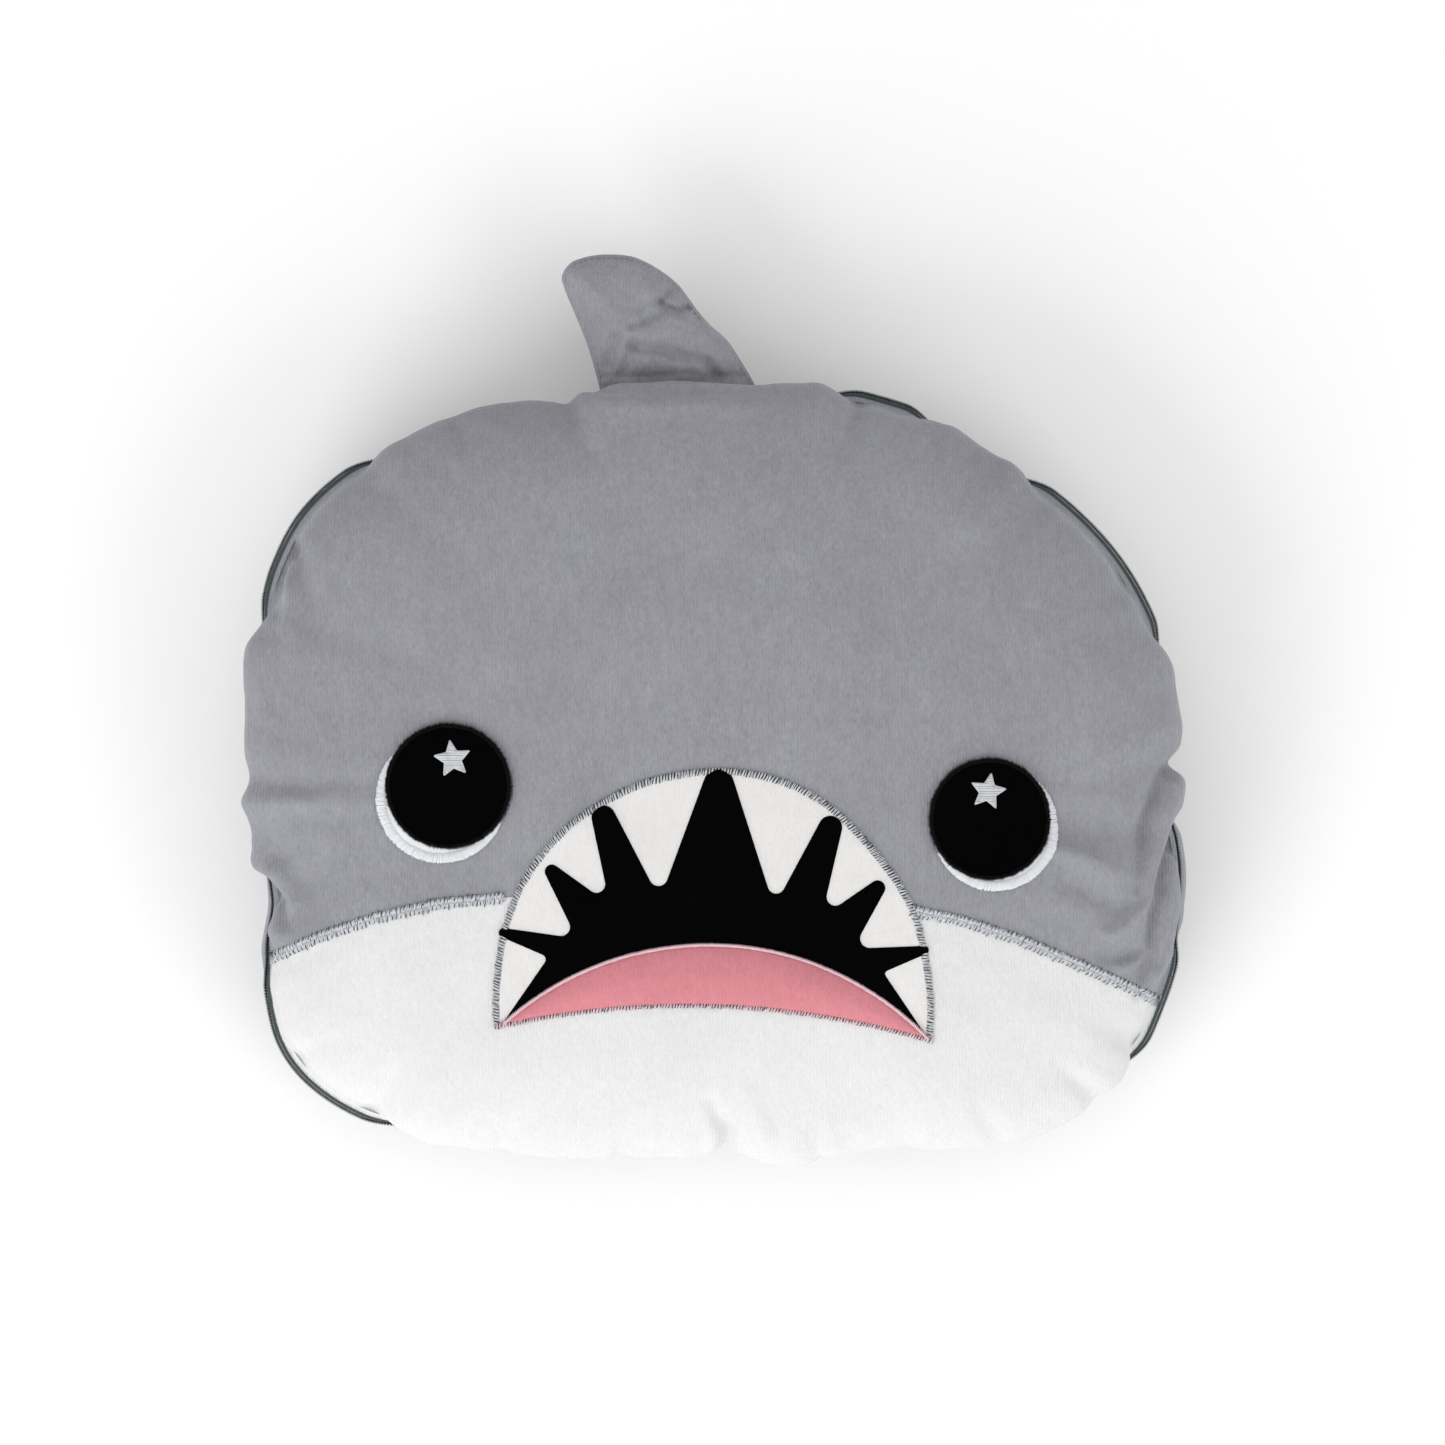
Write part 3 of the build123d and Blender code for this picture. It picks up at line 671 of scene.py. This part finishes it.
def threads(name, lines, radius, nodes, material, body="front_cover", sides=5, placed=False, slot=None):
    """Threads as tubes; each line is points (x, y, lift) over the face, or finished points if placed."""
    points, faces = [], []
    for line in lines:
        spots = [Vector(p) if placed else face_point(*p) for p in line]
        first = len(points)
        for i, p in enumerate(spots):
            ahead = spots[min(i + 1, len(spots) - 1)] - spots[max(i - 1, 0)]
            ahead.normalize()
            side = ahead.cross(Vector((0.02, 0.03, 1)))
            side.normalize()
            up = side.cross(ahead)
            for k in range(sides):
                turn = 2 * pi * k / sides
                points.append(p + side * (radius * cos(turn)) + up * (radius * sin(turn)))
        faces += tube_faces(first, len(spots), sides)
    return make(name, points, faces, body, nodes, material, slot)


def way_along(spots, i, closed):
    """The way a path runs at its point i, one unit long."""
    if closed:
        a, b = spots[i - 1], spots[(i + 1) % len(spots)]
    else:
        a, b = spots[max(i - 1, 0)], spots[min(i + 1, len(spots) - 1)]
    length = dist(a, b) or 1
    return (b[0] - a[0]) / length, (b[1] - a[1]) / length


def zigzag(path, width, pitch, low, high, closed=False, uneven=0.12):
    """One thread that crosses a path from side to side, arched over it."""
    spots = evenly(path, pitch / 2, closed)
    turns = []
    for i, p in enumerate(spots):
        tx, ty = way_along(spots, i, closed)
        off = (width / 2) * (1 if i % 2 else -1) * (1 + random.uniform(-uneven, uneven))
        turns.append((p[0] - ty * off, p[1] + tx * off))
    if closed:
        turns.append(turns[0])
    line = []
    for a, b in zip(turns, turns[1:]):
        line.append((*a, low))
        for t in (0.25, 0.5, 0.75):
            rise = low + (high - low) * sin(pi * t) ** 0.6
            line.append((a[0] + (b[0] - a[0]) * t, a[1] + (b[1] - a[1]) * t, rise))
    line.append((*turns[-1], low))
    return line


def strokes(path, width, pitch, low, high, lean=0.3, uneven=0.15, shift=0.0, start=0.0, closed=False):
    """Separate stitches that cross a path, each a short arched thread leaning a little its own way."""
    spots = evenly(path, pitch, closed)
    out = []
    for i, p in enumerate(spots):
        tx, ty = way_along(spots, i, closed)
        half = width / 2 * (1 + random.uniform(-uneven, uneven))
        slant = lean * random.uniform(0.4, 1.6)
        slide = start + random.uniform(-0.2, 0.2) * pitch
        middle = shift + random.uniform(-uneven, uneven) * width / 2
        line = []
        for t in (-1, -0.75, -0.3, 0.3, 0.75, 1):
            off, along = middle + t * half, slide + t * slant
            rise = low + (high - low) * sqrt(1 - t * t)
            line.append((p[0] - ty * off + tx * along, p[1] + tx * off + ty * along, rise))
        out.append(line)
    return out


def circle(x, y, radius, count=96):
    turns = [2 * pi * k / count for k in range(count)]
    return [(x + radius * cos(t), y + radius * sin(t)) for t in turns]


# the mouth, from its left corner over the top to its right corner
mouth_upper = catmull([
    (-93.3, -107.1), (-93.4, -89.3), (-89.9, -65.9), (-81.4, -44.6), (-66.5, -25.5), (-49.5, -12.8),
    (-28.3, -3), (-0.6, 1.3), (24.9, -2.1), (48.2, -14), (69.5, -36.1), (83.1, -57.4), (88.6, -78.6),
    (90.7, -95.6), (90.3, -112.6),
], 8)
mouth_lower = arc((-93.6, -106.6), (-5.6, -97.8), (90.4, -112.2), 60)
tongue_upper = arc((-90.5, -105.5), (-4.0, -72.1), (89.6, -111.6), 60)
patch("tooth_cloth", mouth_upper + mouth_lower[::-1][1:-1], 0.0, 0.7, ["tooth_panel"], TEETH)


def round_the_circles(circles):
    """A path round circles (x, y, radius) and along their tangents; a negative radius turns right."""
    ways = []
    for (ax, ay, ra), (bx, by, rb) in zip(circles, circles[1:]):
        ways.append(atan2(by - ay, bx - ax) + asin((ra - rb) / hypot(bx - ax, by - ay)))
    out = [circles[0][:2]]
    for (x, y, r), arrive, leave in zip(circles[1:-1], ways, ways[1:]):
        turn = (leave - arrive + pi) % (2 * pi) - pi
        if turn * r < 0:  # it turns the way its circle says
            turn += copysign(2 * pi, r)
        steps = max(2, round(abs(turn * r) / 0.7))
        for k in range(steps + 1):
            way = arrive + turn * k / steps
            out.append((x + r * sin(way), y - r * cos(way)))
    return out + [circles[-1][:2]]


# the dark mouth's upper edge: its spikes turn right and the white teeth between them turn left
spikes = [
    (-89.7, -103.4, 0), (-74.5, -78.3, 1.8), (-90.5, -67.1, -2.2), (-66.0, -64.6, 3.6), (-70.0, -41.0, -3.2),
    (-51.0, -46.4, 3.5), (-48.0, -18.0, -5.3), (-24.7, -43.3, 3.7), (0.9, -3.9, -6.7), (25.3, -46.9, 3.4),
    (48.3, -22.3, -5.2), (50.4, -51.9, 3.5), (68.3, -48.0, -3.5), (64.9, -69.4, 3.8), (88.2, -74.3, -2.0),
    (72.4, -84.2, 0.9), (88.9, -110.2, 0),
]
dark_edge = round_the_circles(spikes)
dark_bottom = arc((-90, -106.5), (-4.0, -74.6), (89, -112), 60)
patch("mouth_cloth", dark_edge + dark_bottom[::-1], 0.75, 0.8, ["dark_mouth"], BLACK)
patch("tongue_cloth", tongue_upper + mouth_lower[::-1][1:-1], 1.0, 0.6, ["tongue"], PINK, crown=3.4)

# eyes: a white disc that peeps out below, a black disc, and an embroidered star
for eye, pupil_at, pupil_r, white_at, white_r, star_at, star_r, first in (
    ("left", (-113.7, -4.7), 26.8, (-116.9, -9.8), 27.3, (-112, 6.8), 7.9, 98),
    ("right", (115.8, -18.7), 26.0, (118.4, -22.5), 26.5, (115, -7), 7.7, 80),
):
    patch(f"{eye}_eye_white_satin", circle(*white_at, white_r), 0.0, 0.8, [f"{eye}_eye_white"], SATIN)
    patch(f"{eye}_eye_black_cloth", circle(*pupil_at, pupil_r - 0.6), 0.8, 0.9, [f"{eye}_eye_pupil"], BLACK)
    ring = circle(*white_at, white_r - 1.9, 200)
    ring = strokes(ring, 4.2, 0.55, 0.5, 1.15, lean=0.12, uneven=0.08, closed=True)
    ring = [line for line in ring if dist(line[2][:2], pupil_at) > pupil_r - 3.2]  # where it peeps out
    threads(f"{eye}_eye_satin_thread", ring, 0.31, [], SATIN, slot="eye_white_fabric")
    edge = zigzag(circle(*pupil_at, pupil_r - 1.1, 200), 2.5, 0.8, 0.75, 2.4, closed=True, uneven=0.25)
    threads(f"{eye}_eye_edge_thread", [edge], 0.28, [f"{eye}_eye_border_stitch"], JET)
    corners = []
    for k in range(10):
        r = star_r if k % 2 == 0 else star_r * 0.47
        turn = radians(first + 36 * k)
        corners.append((star_at[0] + r * cos(turn), star_at[1] + r * sin(turn)))
    rows = []
    y = star_at[1] - star_r
    while y < star_at[1] + star_r:  # satin rows across the star, each from edge to edge
        cuts = []
        for (ax, ay), (bx, by) in zip(corners, corners[1:] + corners[:1]):
            if (ay > y) != (by > y):
                cuts.append(ax + (bx - ax) * (y - ay) / (by - ay))
        cuts.sort()
        for low, high in zip(cuts[::2], cuts[1::2]):
            if high - low > 0.5:
                rows.append([
                    (low + (high - low) * t, y + 0.12 * sin(9 * y), 1.7 + 0.75 * sin(pi * t) ** 0.5)
                    for t in (0, 0.1, 0.3, 0.5, 0.7, 0.9, 1)
                ])
        y += 0.42
    rim = [(*p, 1.95) for p in evenly(corners, 0.8, closed=True)]
    rows.append(rim + [rim[0]])
    threads(f"{eye}_eye_star_thread", rows, 0.3, [f"{eye}_eye_star"], SILVER)

# stitched borders: dark stitches of painted shade, with two light ones between each two of them
upper_edge, lower_edge, upper_line = (evenly(path, 1.0) for path in (mouth_upper, mouth_lower, tongue_upper))
for name, path, width, low, high, node, light, slot in (
    ("mouth_edge", upper_edge, 2.7, 0.15, 1.15, "mouth_border_stitch", SILVER, "silver_thread"),
    ("chin_edge", lower_edge, 2.3, 0.3, 2.0, None, BLUSH, "silver_thread"),
):
    dark = strokes(path, width, 1.3, low, high + 0.1, lean=0.35)
    threads(f"{name}_thread", dark, 0.22, [node] if node else [], THREAD_SHADE, slot=None if node else slot)
    pale = []
    for start in (0.43, 0.87):
        pale += strokes(path, width, 1.3, low, high, lean=0.35, start=start)
    threads(f"{name}_light_thread", pale, 0.25, [], light, slot=slot)
threads("tongue_edge_thread", [zigzag(upper_line, 1.7, 0.8, 1.3, 2.3)], 0.27, ["tongue_border_stitch"], BLUSH)


for end, inner, outer in (("left", -90.5, -197), ("right", 82.5, 199)):  # outwards from the mouth
    path = []
    for k in range(121):
        x = inner + (outer - inner) * k / 120
        y = muzzle_height(x)
        if hypot(x, y) < looked_up(front_radius, atan2(y, x)) * 0.999:
            path.append((x, y))
    hand = 1 if end == "right" else -1
    silver, dark = [], []
    for shift, width in ((0.92, 2.1), (-1.0, 2.2)):  # two rows, one above the other
        for start in (0.0, 0.42, 0.84):
            silver += strokes(path, width, 1.26, 0.1, 0.85, start=start, shift=shift * hand, uneven=0.2)
        # the dark strokes beside each row are painted shade along the stitching's edges
        outwards = shift + copysign(0.5, shift)
        dark += strokes(path, width * 0.86, 1.9, 0.2, 1.02, shift=outwards * hand, uneven=0.45)
    # the border runs on over the side, down to the zip
    angle = atan2(path[-1][1], path[-1][0])
    over = []
    for k in range(46):
        q = 0.655 + 0.335 * k / 45
        turn = angle + (2.4 if k % 2 else -2.4) / 205
        over.append(surface(turn, q, 1, 0.5))
    threads(f"{end}_muzzle_border_thread", silver, 0.25, [f"{end}_muzzle_border_stitch"], SILVER)
    threads(f"{end}_muzzle_border_dark_thread", dark, 0.19, [], THREAD_SHADE, slot="silver_thread")
    threads(f"{end}_muzzle_border_side_thread", [over], 0.28, [], SILVER, placed=True, slot="silver_thread")

# --- zip
seam_path = []
for k, r in enumerate(seam_radius):
    turn = 2 * pi * k / RINGS
    seam_path.append((r * cos(turn), r * sin(turn)))
seam_path = evenly(seam_path, 0.635, closed=True)
strip_half = strip_high[0] / MM
end_low, end_high = (corner[0] for corner in box_mm("zip_end_right_front"))
teeth = {}
for i, (x, y) in enumerate(seam_path):
    a, b = seam_path[i - 1], seam_path[(i + 1) % len(seam_path)]
    length = dist(a, b)
    tx, ty = (b[0] - a[0]) / length, (b[1] - a[1]) / length
    nx, ny = ty, -tx  # outwards
    side = 1 if i % 2 else -1
    half = "front" if side > 0 else "back"
    if y < CHIN + 8 and abs(x) < end_high + 0.6:
        if abs(x) < end_low:
            continue
        key = f"zip_end_{'left' if x < 0 else 'right'}_{half}"
        y = CHIN
        tx, ty, nx, ny = 1.0, 0.0, 0.0, -1.0
    else:
        key = f"zip_coil_{half}"
    points, faces = teeth.setdefault(key, ([], []))
    first = len(points)
    reach_in = 0.62 if key.startswith("zip_end") else -0.16
    for z, wide, deep in (  # a tooth's rings: height, half length along the seam and half depth
        (2.5, 0.2, 0.6), (2.2, 0.26, 1.0), (1.2, 0.25, 1.1), (0.5, 0.3, 1.1),
        (max(0.1, reach_in + 0.2), 0.33, 0.9), (reach_in, 0.2, 0.5),
    ):
        z = max(z, reach_in)
        for k in range(6):
            turn = pi / 3 * k
            along, out = wide * cos(turn), -0.85 + deep * sin(turn)
            points.append((x + tx * along + nx * out, y + ty * along + ny * out, SEAM + side * z))
    faces += tube_faces(first, 6, 6)
    faces.append(tuple(first + 30 + k for k in range(6)))
for key, (points, faces) in teeth.items():
    body = "front_cover" if key == "zip_coil_front" else "back_cover"
    make(f"{key}_teeth", points, faces, body, [key], NYLON)

SPOTS = 420
# the tapes start and end at the straight chin, where the end pieces have their own
tape_start = atan2(CHIN, end_high + 1.2)
tape_stop = atan2(CHIN, -end_high - 1.2) % (2 * pi)
for side, half in ((1, "front"), (-1, "back")):
    points = []
    for k in range(SPOTS + 1):
        turn = tape_start + (tape_stop - tape_start) * k / SPOTS
        r = looked_up(seam_radius, turn) - 1.75
        c, s = cos(turn), sin(turn)
        points += [Vector((r * c, r * s, SEAM + side * z)) for z in (0.5, 2.4)]
        points += [surface(turn, q, side, lift=-2.0) for q in (0.985, 0.93, 0.87, 0.82)]
    faces = grid_faces(SPOTS + 1, 6, side < 0)
    make(f"zip_tape_{half}_cloth", points, faces, f"{half}_cover", [f"zip_tape_{half}"], TAPE)
for end, sign in (("left", -1), ("right", 1)):  # tape behind the straight ends
    for side, half in ((1, "front"), (-1, "back")):
        points = []
        for k in range(41):
            x = sign * (end_low + (end_high - end_low) * k / 40)
            for z, deep in ((0.8, 1.75), (2.4, 1.75), (3.0, 2.0), (3.9, 2.4)):
                points.append((x, CHIN + deep, SEAM + side * z))
        faces = grid_faces(41, 4, True)
        make(f"zip_end_{end}_{half}_tape", points, faces, "back_cover", [], TAPE, "zip_tape")


def plate(name, loops, depth, bevel, body, nodes, low_y):
    """A rounded plate in the XZ plane from closed loops of (x, z), the first its rim and the rest holes."""
    curve = bpy.data.curves.new(name, "CURVE")
    curve.dimensions, curve.fill_mode = "2D", "BOTH"
    curve.extrude, curve.bevel_depth, curve.bevel_resolution = (depth / 2 - bevel) * MM, bevel * MM, 3
    for loop in loops:
        spline = curve.splines.new("POLY")
        spline.points.add(len(loop) - 1)
        for spot, (x, z) in zip(spline.points, loop):
            spot.co = (x * MM, z * MM, 0, 1)
        spline.use_cyclic_u = True
    maker = bpy.data.objects.new(name + "_maker", curve)
    scene.collection.objects.link(maker)
    bpy.context.view_layer.update()
    mesh = bpy.data.meshes.new_from_object(maker.evaluated_get(bpy.context.evaluated_depsgraph_get()))
    bpy.data.objects.remove(maker)
    middle = (low_y + depth / 2) * MM
    for v in mesh.vertices:
        v.co = Vector((v.co.x, middle - v.co.z, v.co.y))
    mesh.materials.clear()
    return add(name, mesh, body, nodes, ENAMEL)


def round_box(low_x, high_x, low_z, high_z, r, taper=0.0):
    """A rounded rectangle of (x, z) that narrows towards low_x by taper."""
    left, right = low_x + r, high_x - r
    low, high = low_z + r, high_z - r
    loop = []
    for x, z, start in (
        (right, high, 0), (left, high - taper, 90), (left, low + taper, 180), (right, low, 270),
    ):
        for k in range(7):
            turn = radians(start + 15 * k)
            loop.append((x + r * cos(turn), z + r * sin(turn)))
    return loop


(x0, _, z0), (x1, _, z1) = box_mm("slider_body")
slider_rim = round_box(x0, x1, z0, z1, 1.3, 0.5)
slider_post = round_box(x1 - 2.0, x1 - 0.2, SEAM - 0.42, SEAM + 0.42, 0.3)
upper_flange = round_box(x0 + 0.5, x1 - 0.5, SEAM + 2.55, SEAM + 3.4, 0.35)
lower_flange = round_box(x0 + 0.5, x1 - 0.5, SEAM - 3.4, SEAM - 2.55, 0.35)
for name, loop, depth, bevel, nodes, low_y, slot in (
    ("slider_outer_plate", slider_rim, 0.9, 0.3, ["slider_body"], CHIN - 1.5, None),
    ("slider_inner_plate", slider_rim, 0.9, 0.25, [], CHIN + 2.6, "zip_metal"),
    ("slider_post", slider_post, 3.6, 0.1, [], CHIN - 0.8, "zip_metal"),
    ("slider_upper_flange", upper_flange, 2.3, 0.15, [], CHIN - 1.0, "zip_metal"),
    ("slider_lower_flange", lower_flange, 2.3, 0.15, [], CHIN - 1.0, "zip_metal"),
):
    plate(name, [loop], depth, bevel, "zip_slider", nodes, low_y)
crown = [
    (x0 + 1.45, CHIN - 1.2), (x0 + 1.4, CHIN - 2.6), (x0 + 1.9, CHIN - 3.4), (x0 + 4.5, CHIN - 3.6),
    (x1 - 1.9, CHIN - 3.4), (x1 - 1.4, CHIN - 2.6), (x1 - 1.45, CHIN - 1.2),
]
crown = [(x, y, SEAM) for x, y in catmull(crown, 8)]
threads("slider_crown", [crown], 0.38, [], ENAMEL, "zip_slider", 10, placed=True, slot="zip_metal")
(x0, y0, z0), (x1, _, z1) = box_mm("pull_tab")
grip_hole = round_box(x0 + 2.2, x0 + 6.2, SEAM - 1.1, SEAM + 1.1, 1.0)
eye = round_box(x1 - 1.0 - 6.9, x1 - 1.0, SEAM - 1.1, SEAM + 1.1, 0.4)
loops = [round_box(x0, x1, z0, z1, 1.4), eye, grip_hole]
plate("pull_tab_plate", loops, 1.0, 0.28, "pull_tab", ["pull_tab"], y0)
for node in ("zip_top_stop_front", "zip_top_stop_back", "zip_bottom_stop"):
    (x0, y0, z0), (x1, y1, z1) = box_mm(node)
    clip = round_box(x0, x1, z0, z1, 0.5)
    plate(f"{node}_clip", [clip], y1 - y0 + 0.1, 0.3, "back_cover", [node], y0 - 0.1)

# --- hinge strip, linings, inner cushion
points = []
for k in range(61):
    x = -strip_half - 0.1 + (2 * strip_half + 0.2) * k / 60
    for row in range(13):
        z = -4.6 + 9.2 * row / 12
        bulge = 0.9 * (1 - (z / 4.6) ** 2) + 0.35 * wobble(x / 4.0, z / 5, 2.0)
        points.append((x, CHIN + 1.5 - bulge, SEAM + z))
hinge_cloth = make("hinge_strip_plush", points, grid_faces(61, 13), None, ["hinge_strip"], GREY)
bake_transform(hinge_cloth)


def inner_half(name, side, rows, count, lift, last, body, nodes, material, close=None):
    """A coarser layer inside one half: a lining, or a half of the inner cushion."""
    points = [surface(0, 0, side, lift)]
    for row in range(1, rows + 1):
        for k in range(count):
            points.append(surface(2 * pi * k / count, last * row / rows, side, lift))
    if close:
        for k in range(count):
            edge = points[1 + (rows - 1) * count + k]
            turn = 2 * pi * k / count
            r = looked_up(seam_radius, turn) - close
            points.append(Vector((r * cos(turn), r * sin(turn), SEAM + side * 0.3)))
    faces = dome_faces(count, rows + (1 if close else 0), side < 0)
    return make(name, points, faces, body, nodes, material)


inner_half("front_lining_cloth", 1, 44, 300, -2.6, 0.985, "front_cover", ["front_lining"], LINING)
inner_half("back_lining_cloth", -1, 44, 300, -2.6, 0.985, "back_cover", ["back_lining"], LINING)
for half, side in (("front", 1), ("back", -1)):
    name, node = f"inner_cushion_{half}", f"cushion_{half}_cloth"
    cushion = inner_half(name, side, 60, 420, -5.5, 0.9, "back_cover", [node], INNER, close=7.5)
points, faces = [], []
for side in (1, -1):
    faces += dome_faces(120, 20, first=len(points))
    points.append(surface(0, 0, side, -7.5))
    for row in range(1, 21):
        for k in range(120):
            points.append(surface(2 * pi * k / 120, 0.8 * row / 20, side, -7.5))
make("fibre_filling_wad", points, faces, "back_cover", ["fibre_filling"], FIBRE)

# --- dorsal fin
fin_curve = catmull([
    (-49.5, 163.2), (-51.5, 171), (-55, 183), (-59.8, 195), (-64.6, 206.5), (-65.9, 212.5), (-62.2, 218),
    (-55.5, 220.6), (-48.7, 221.6), (-40, 221.4), (-33.1, 219.8), (-24.5, 215.2), (-17, 209.4),
    (-12.2, 203.5), (-8, 197.6), (-2.4, 191.2), (4.5, 185), (11.5, 174.5), (18, 163.2),
], 8)
# (path, width, height) of the fin's folds, as on the face
fin_folds = [
    (((-36, 183), (-20, 179.5), (-4, 176), (0, 170)), 2.4, -3.6),
    (((-36, 187), (-20, 188), (-2, 187)), 6, 2.6),
    (((-20, 206.5), (-23.8, 201)), 1.7, -2.2), (((-23.8, 201), (-17, 197.3), (-12.2, 199.3)), 1.5, -2.8),
    (((-12.2, 199.3), (-7.6, 193.6)), 1.4, -1.8), (((-20, 194.6), (-12, 192.5)), 2.2, 1.3),
    (((-23.6, 196.6), (-30, 193.4), (-36, 191)), 1.9, -1.8), (((-43, 186.5), (-45.6, 174.5)), 2.4, -2.3),
    (((-35.5, 182), (-38, 176), (-41, 170.5)), 2, -2), (((-47, 170.2), (-28, 169.4), (-9, 171.2)), 1.3, -1),
    (((-3, 169), (12, 170)), 1.3, -1), (((-30, 214), (-27, 206)), 3, 1.1),
    (((-52, 205), (-46, 196), (-46, 186)), 4, 0.9),
]


def fin_half(name, side, nodes):
    rim = evenly(fin_curve, 1.1)
    base = [(rim[-1][0] + (rim[0][0] - rim[-1][0]) * k / 60, rim[0][1]) for k in range(1, 60)]
    loop = rim + base
    n = len(loop)
    points = loop + staggered(loop, -67, 1.3, 1.13, sqrt(0.55))
    edges = [(i, (i + 1) % n) for i in range(n)]
    flat, _, tris, *_ = delaunay_2d_cdt([Vector(p) for p in points], edges, [], 1, 0.01)
    placed = []
    for v in flat:
        d = sqrt(min((v.x - p[0]) ** 2 + (v.y - p[1]) ** 2 for p in rim))
        foot, tip = 0.3 + 0.7 * smooth(163, 180, v.y), 1 - 0.3 * smooth(200, 222, v.y)
        full = 8.2 * (1 - exp(-d / 5.0)) * foot * tip
        broad = wobble(v.x / 10, v.y / 10, 7 * side)
        fine = wobble(v.x / 4, v.y / 4, 3 * side)
        pucker = wobble(v.x / 2.8, v.y / 2.8, 5.0 * side) * bell(d - 2.4, 1.8)
        h = 0.15 + full + min(1.0, d / 4) * (1.1 * broad + 0.45 * fine) + 0.8 * pucker
        for path, width, height in fin_folds:
            wave = 0.5 * wobble(v.x / 5, v.y / 5, 2.0)
            fold = height * bell(to_path(v.x + wave, v.y - wave, path)[0], width)
            h += min(1.0, d / 3) * fold * (1 if side > 0 else 0.55)
        placed.append((v.x, v.y, FIN_Z + side * max(0.12, h)))
    piece = make(name, *used_only(placed, turned(flat, tris, side > 0)), None, nodes, GREY)
    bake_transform(piece)
    return piece


fin_half("fin_front_plush", 1, ["fin_front_panel"])
fin_half("fin_back_plush", -1, ["fin_back_panel"])
rim = evenly(fin_curve, 2.6)
stitches = []
for a, b in zip(rim[2:-2], rim[3:-1]):
    tx, ty = (b[0] - a[0]) / dist(a, b), (b[1] - a[1]) / dist(a, b)
    px, py = a[0] + ty * 1.5, a[1] - tx * 1.5
    stitches.append([
        (px + tx * 1.7 * t, py + ty * 1.7 * t, FIN_Z + 1.7 + 0.35 * sin(pi * t))
        for t in (0, 0.25, 0.5, 0.75, 1)
    ])
edge_row = threads("fin_edge_thread", stitches, 0.16, [], DUSK, None, 5, placed=True, slot="silver_thread")
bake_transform(edge_row)
points = []
for row in range(13):  # an oval tuft, leaning the way the fin does
    t = -1 + 2 * row / 12
    wide = sqrt(max(0.0, 1 - t * t))
    for k in range(24):
        turn = pi / 12 * k
        fuzz = 1 + 0.18 * wobble(3 * t, cos(turn) * 2, sin(turn) * 2)
        x = -31 - 12 * t + 15 * wide * fuzz * cos(turn)
        points.append((x, 192 + 15 * t, FIN_Z + 3.4 * wide * fuzz * sin(turn)))
make("fin_filling_wad", points, tube_faces(0, 13, 24), "fin", ["fin_filling"], FIBRE)

# --- floor, light and camera
bpy.ops.mesh.primitive_plane_add(size=12, location=(0, 0, 0))
floor = bpy.context.object
floor.name = "floor"
paper = Material("pale floor", {"Base Color": (0.9, 0.9, 0.9, 1), "Roughness": 0.9})
floor.data.materials.append(paper.material)

world = bpy.data.worlds.new("studio")
scene.world = world
world.use_nodes = True
sky = world.node_tree.nodes["Background"].inputs
sky["Color"].default_value = (1, 1, 1, 1)
sky["Strength"].default_value = 0.76
for place, size, watts in (
    ((-1.5, -1.7, 1.35), 1.8, 40), ((1.8, -1.4, 1.4), 1.8, 24), ((-0.2, 1.8, 2.4), 2.0, 6),
):
    light = bpy.data.lights.new("softbox", "AREA")
    light.size, light.energy = size, watts
    lamp = bpy.data.objects.new("softbox", light)
    lamp.location = place
    lamp.rotation_euler = (Vector((0, 0, 0.05)) - Vector(place)).to_track_quat("-Z", "Y").to_euler()
    scene.collection.objects.link(lamp)

camera = bpy.data.cameras.new("camera")
SENSOR, SEEN = 36, 614  # millimetres across the sensor, and across the view at VIEW_LEVEL
camera.lens = SENSOR * (VIEW_Z - VIEW_LEVEL) / SEEN
camera_object = bpy.data.objects.new("camera", camera)
camera_object.location = (VIEW_X * MM, VIEW_Y * MM, VIEW_Z * MM)
scene.collection.objects.link(camera_object)
scene.camera = camera_object
scene.view_settings.view_transform = "Standard"  # plain tones: white cloth and paper stay white
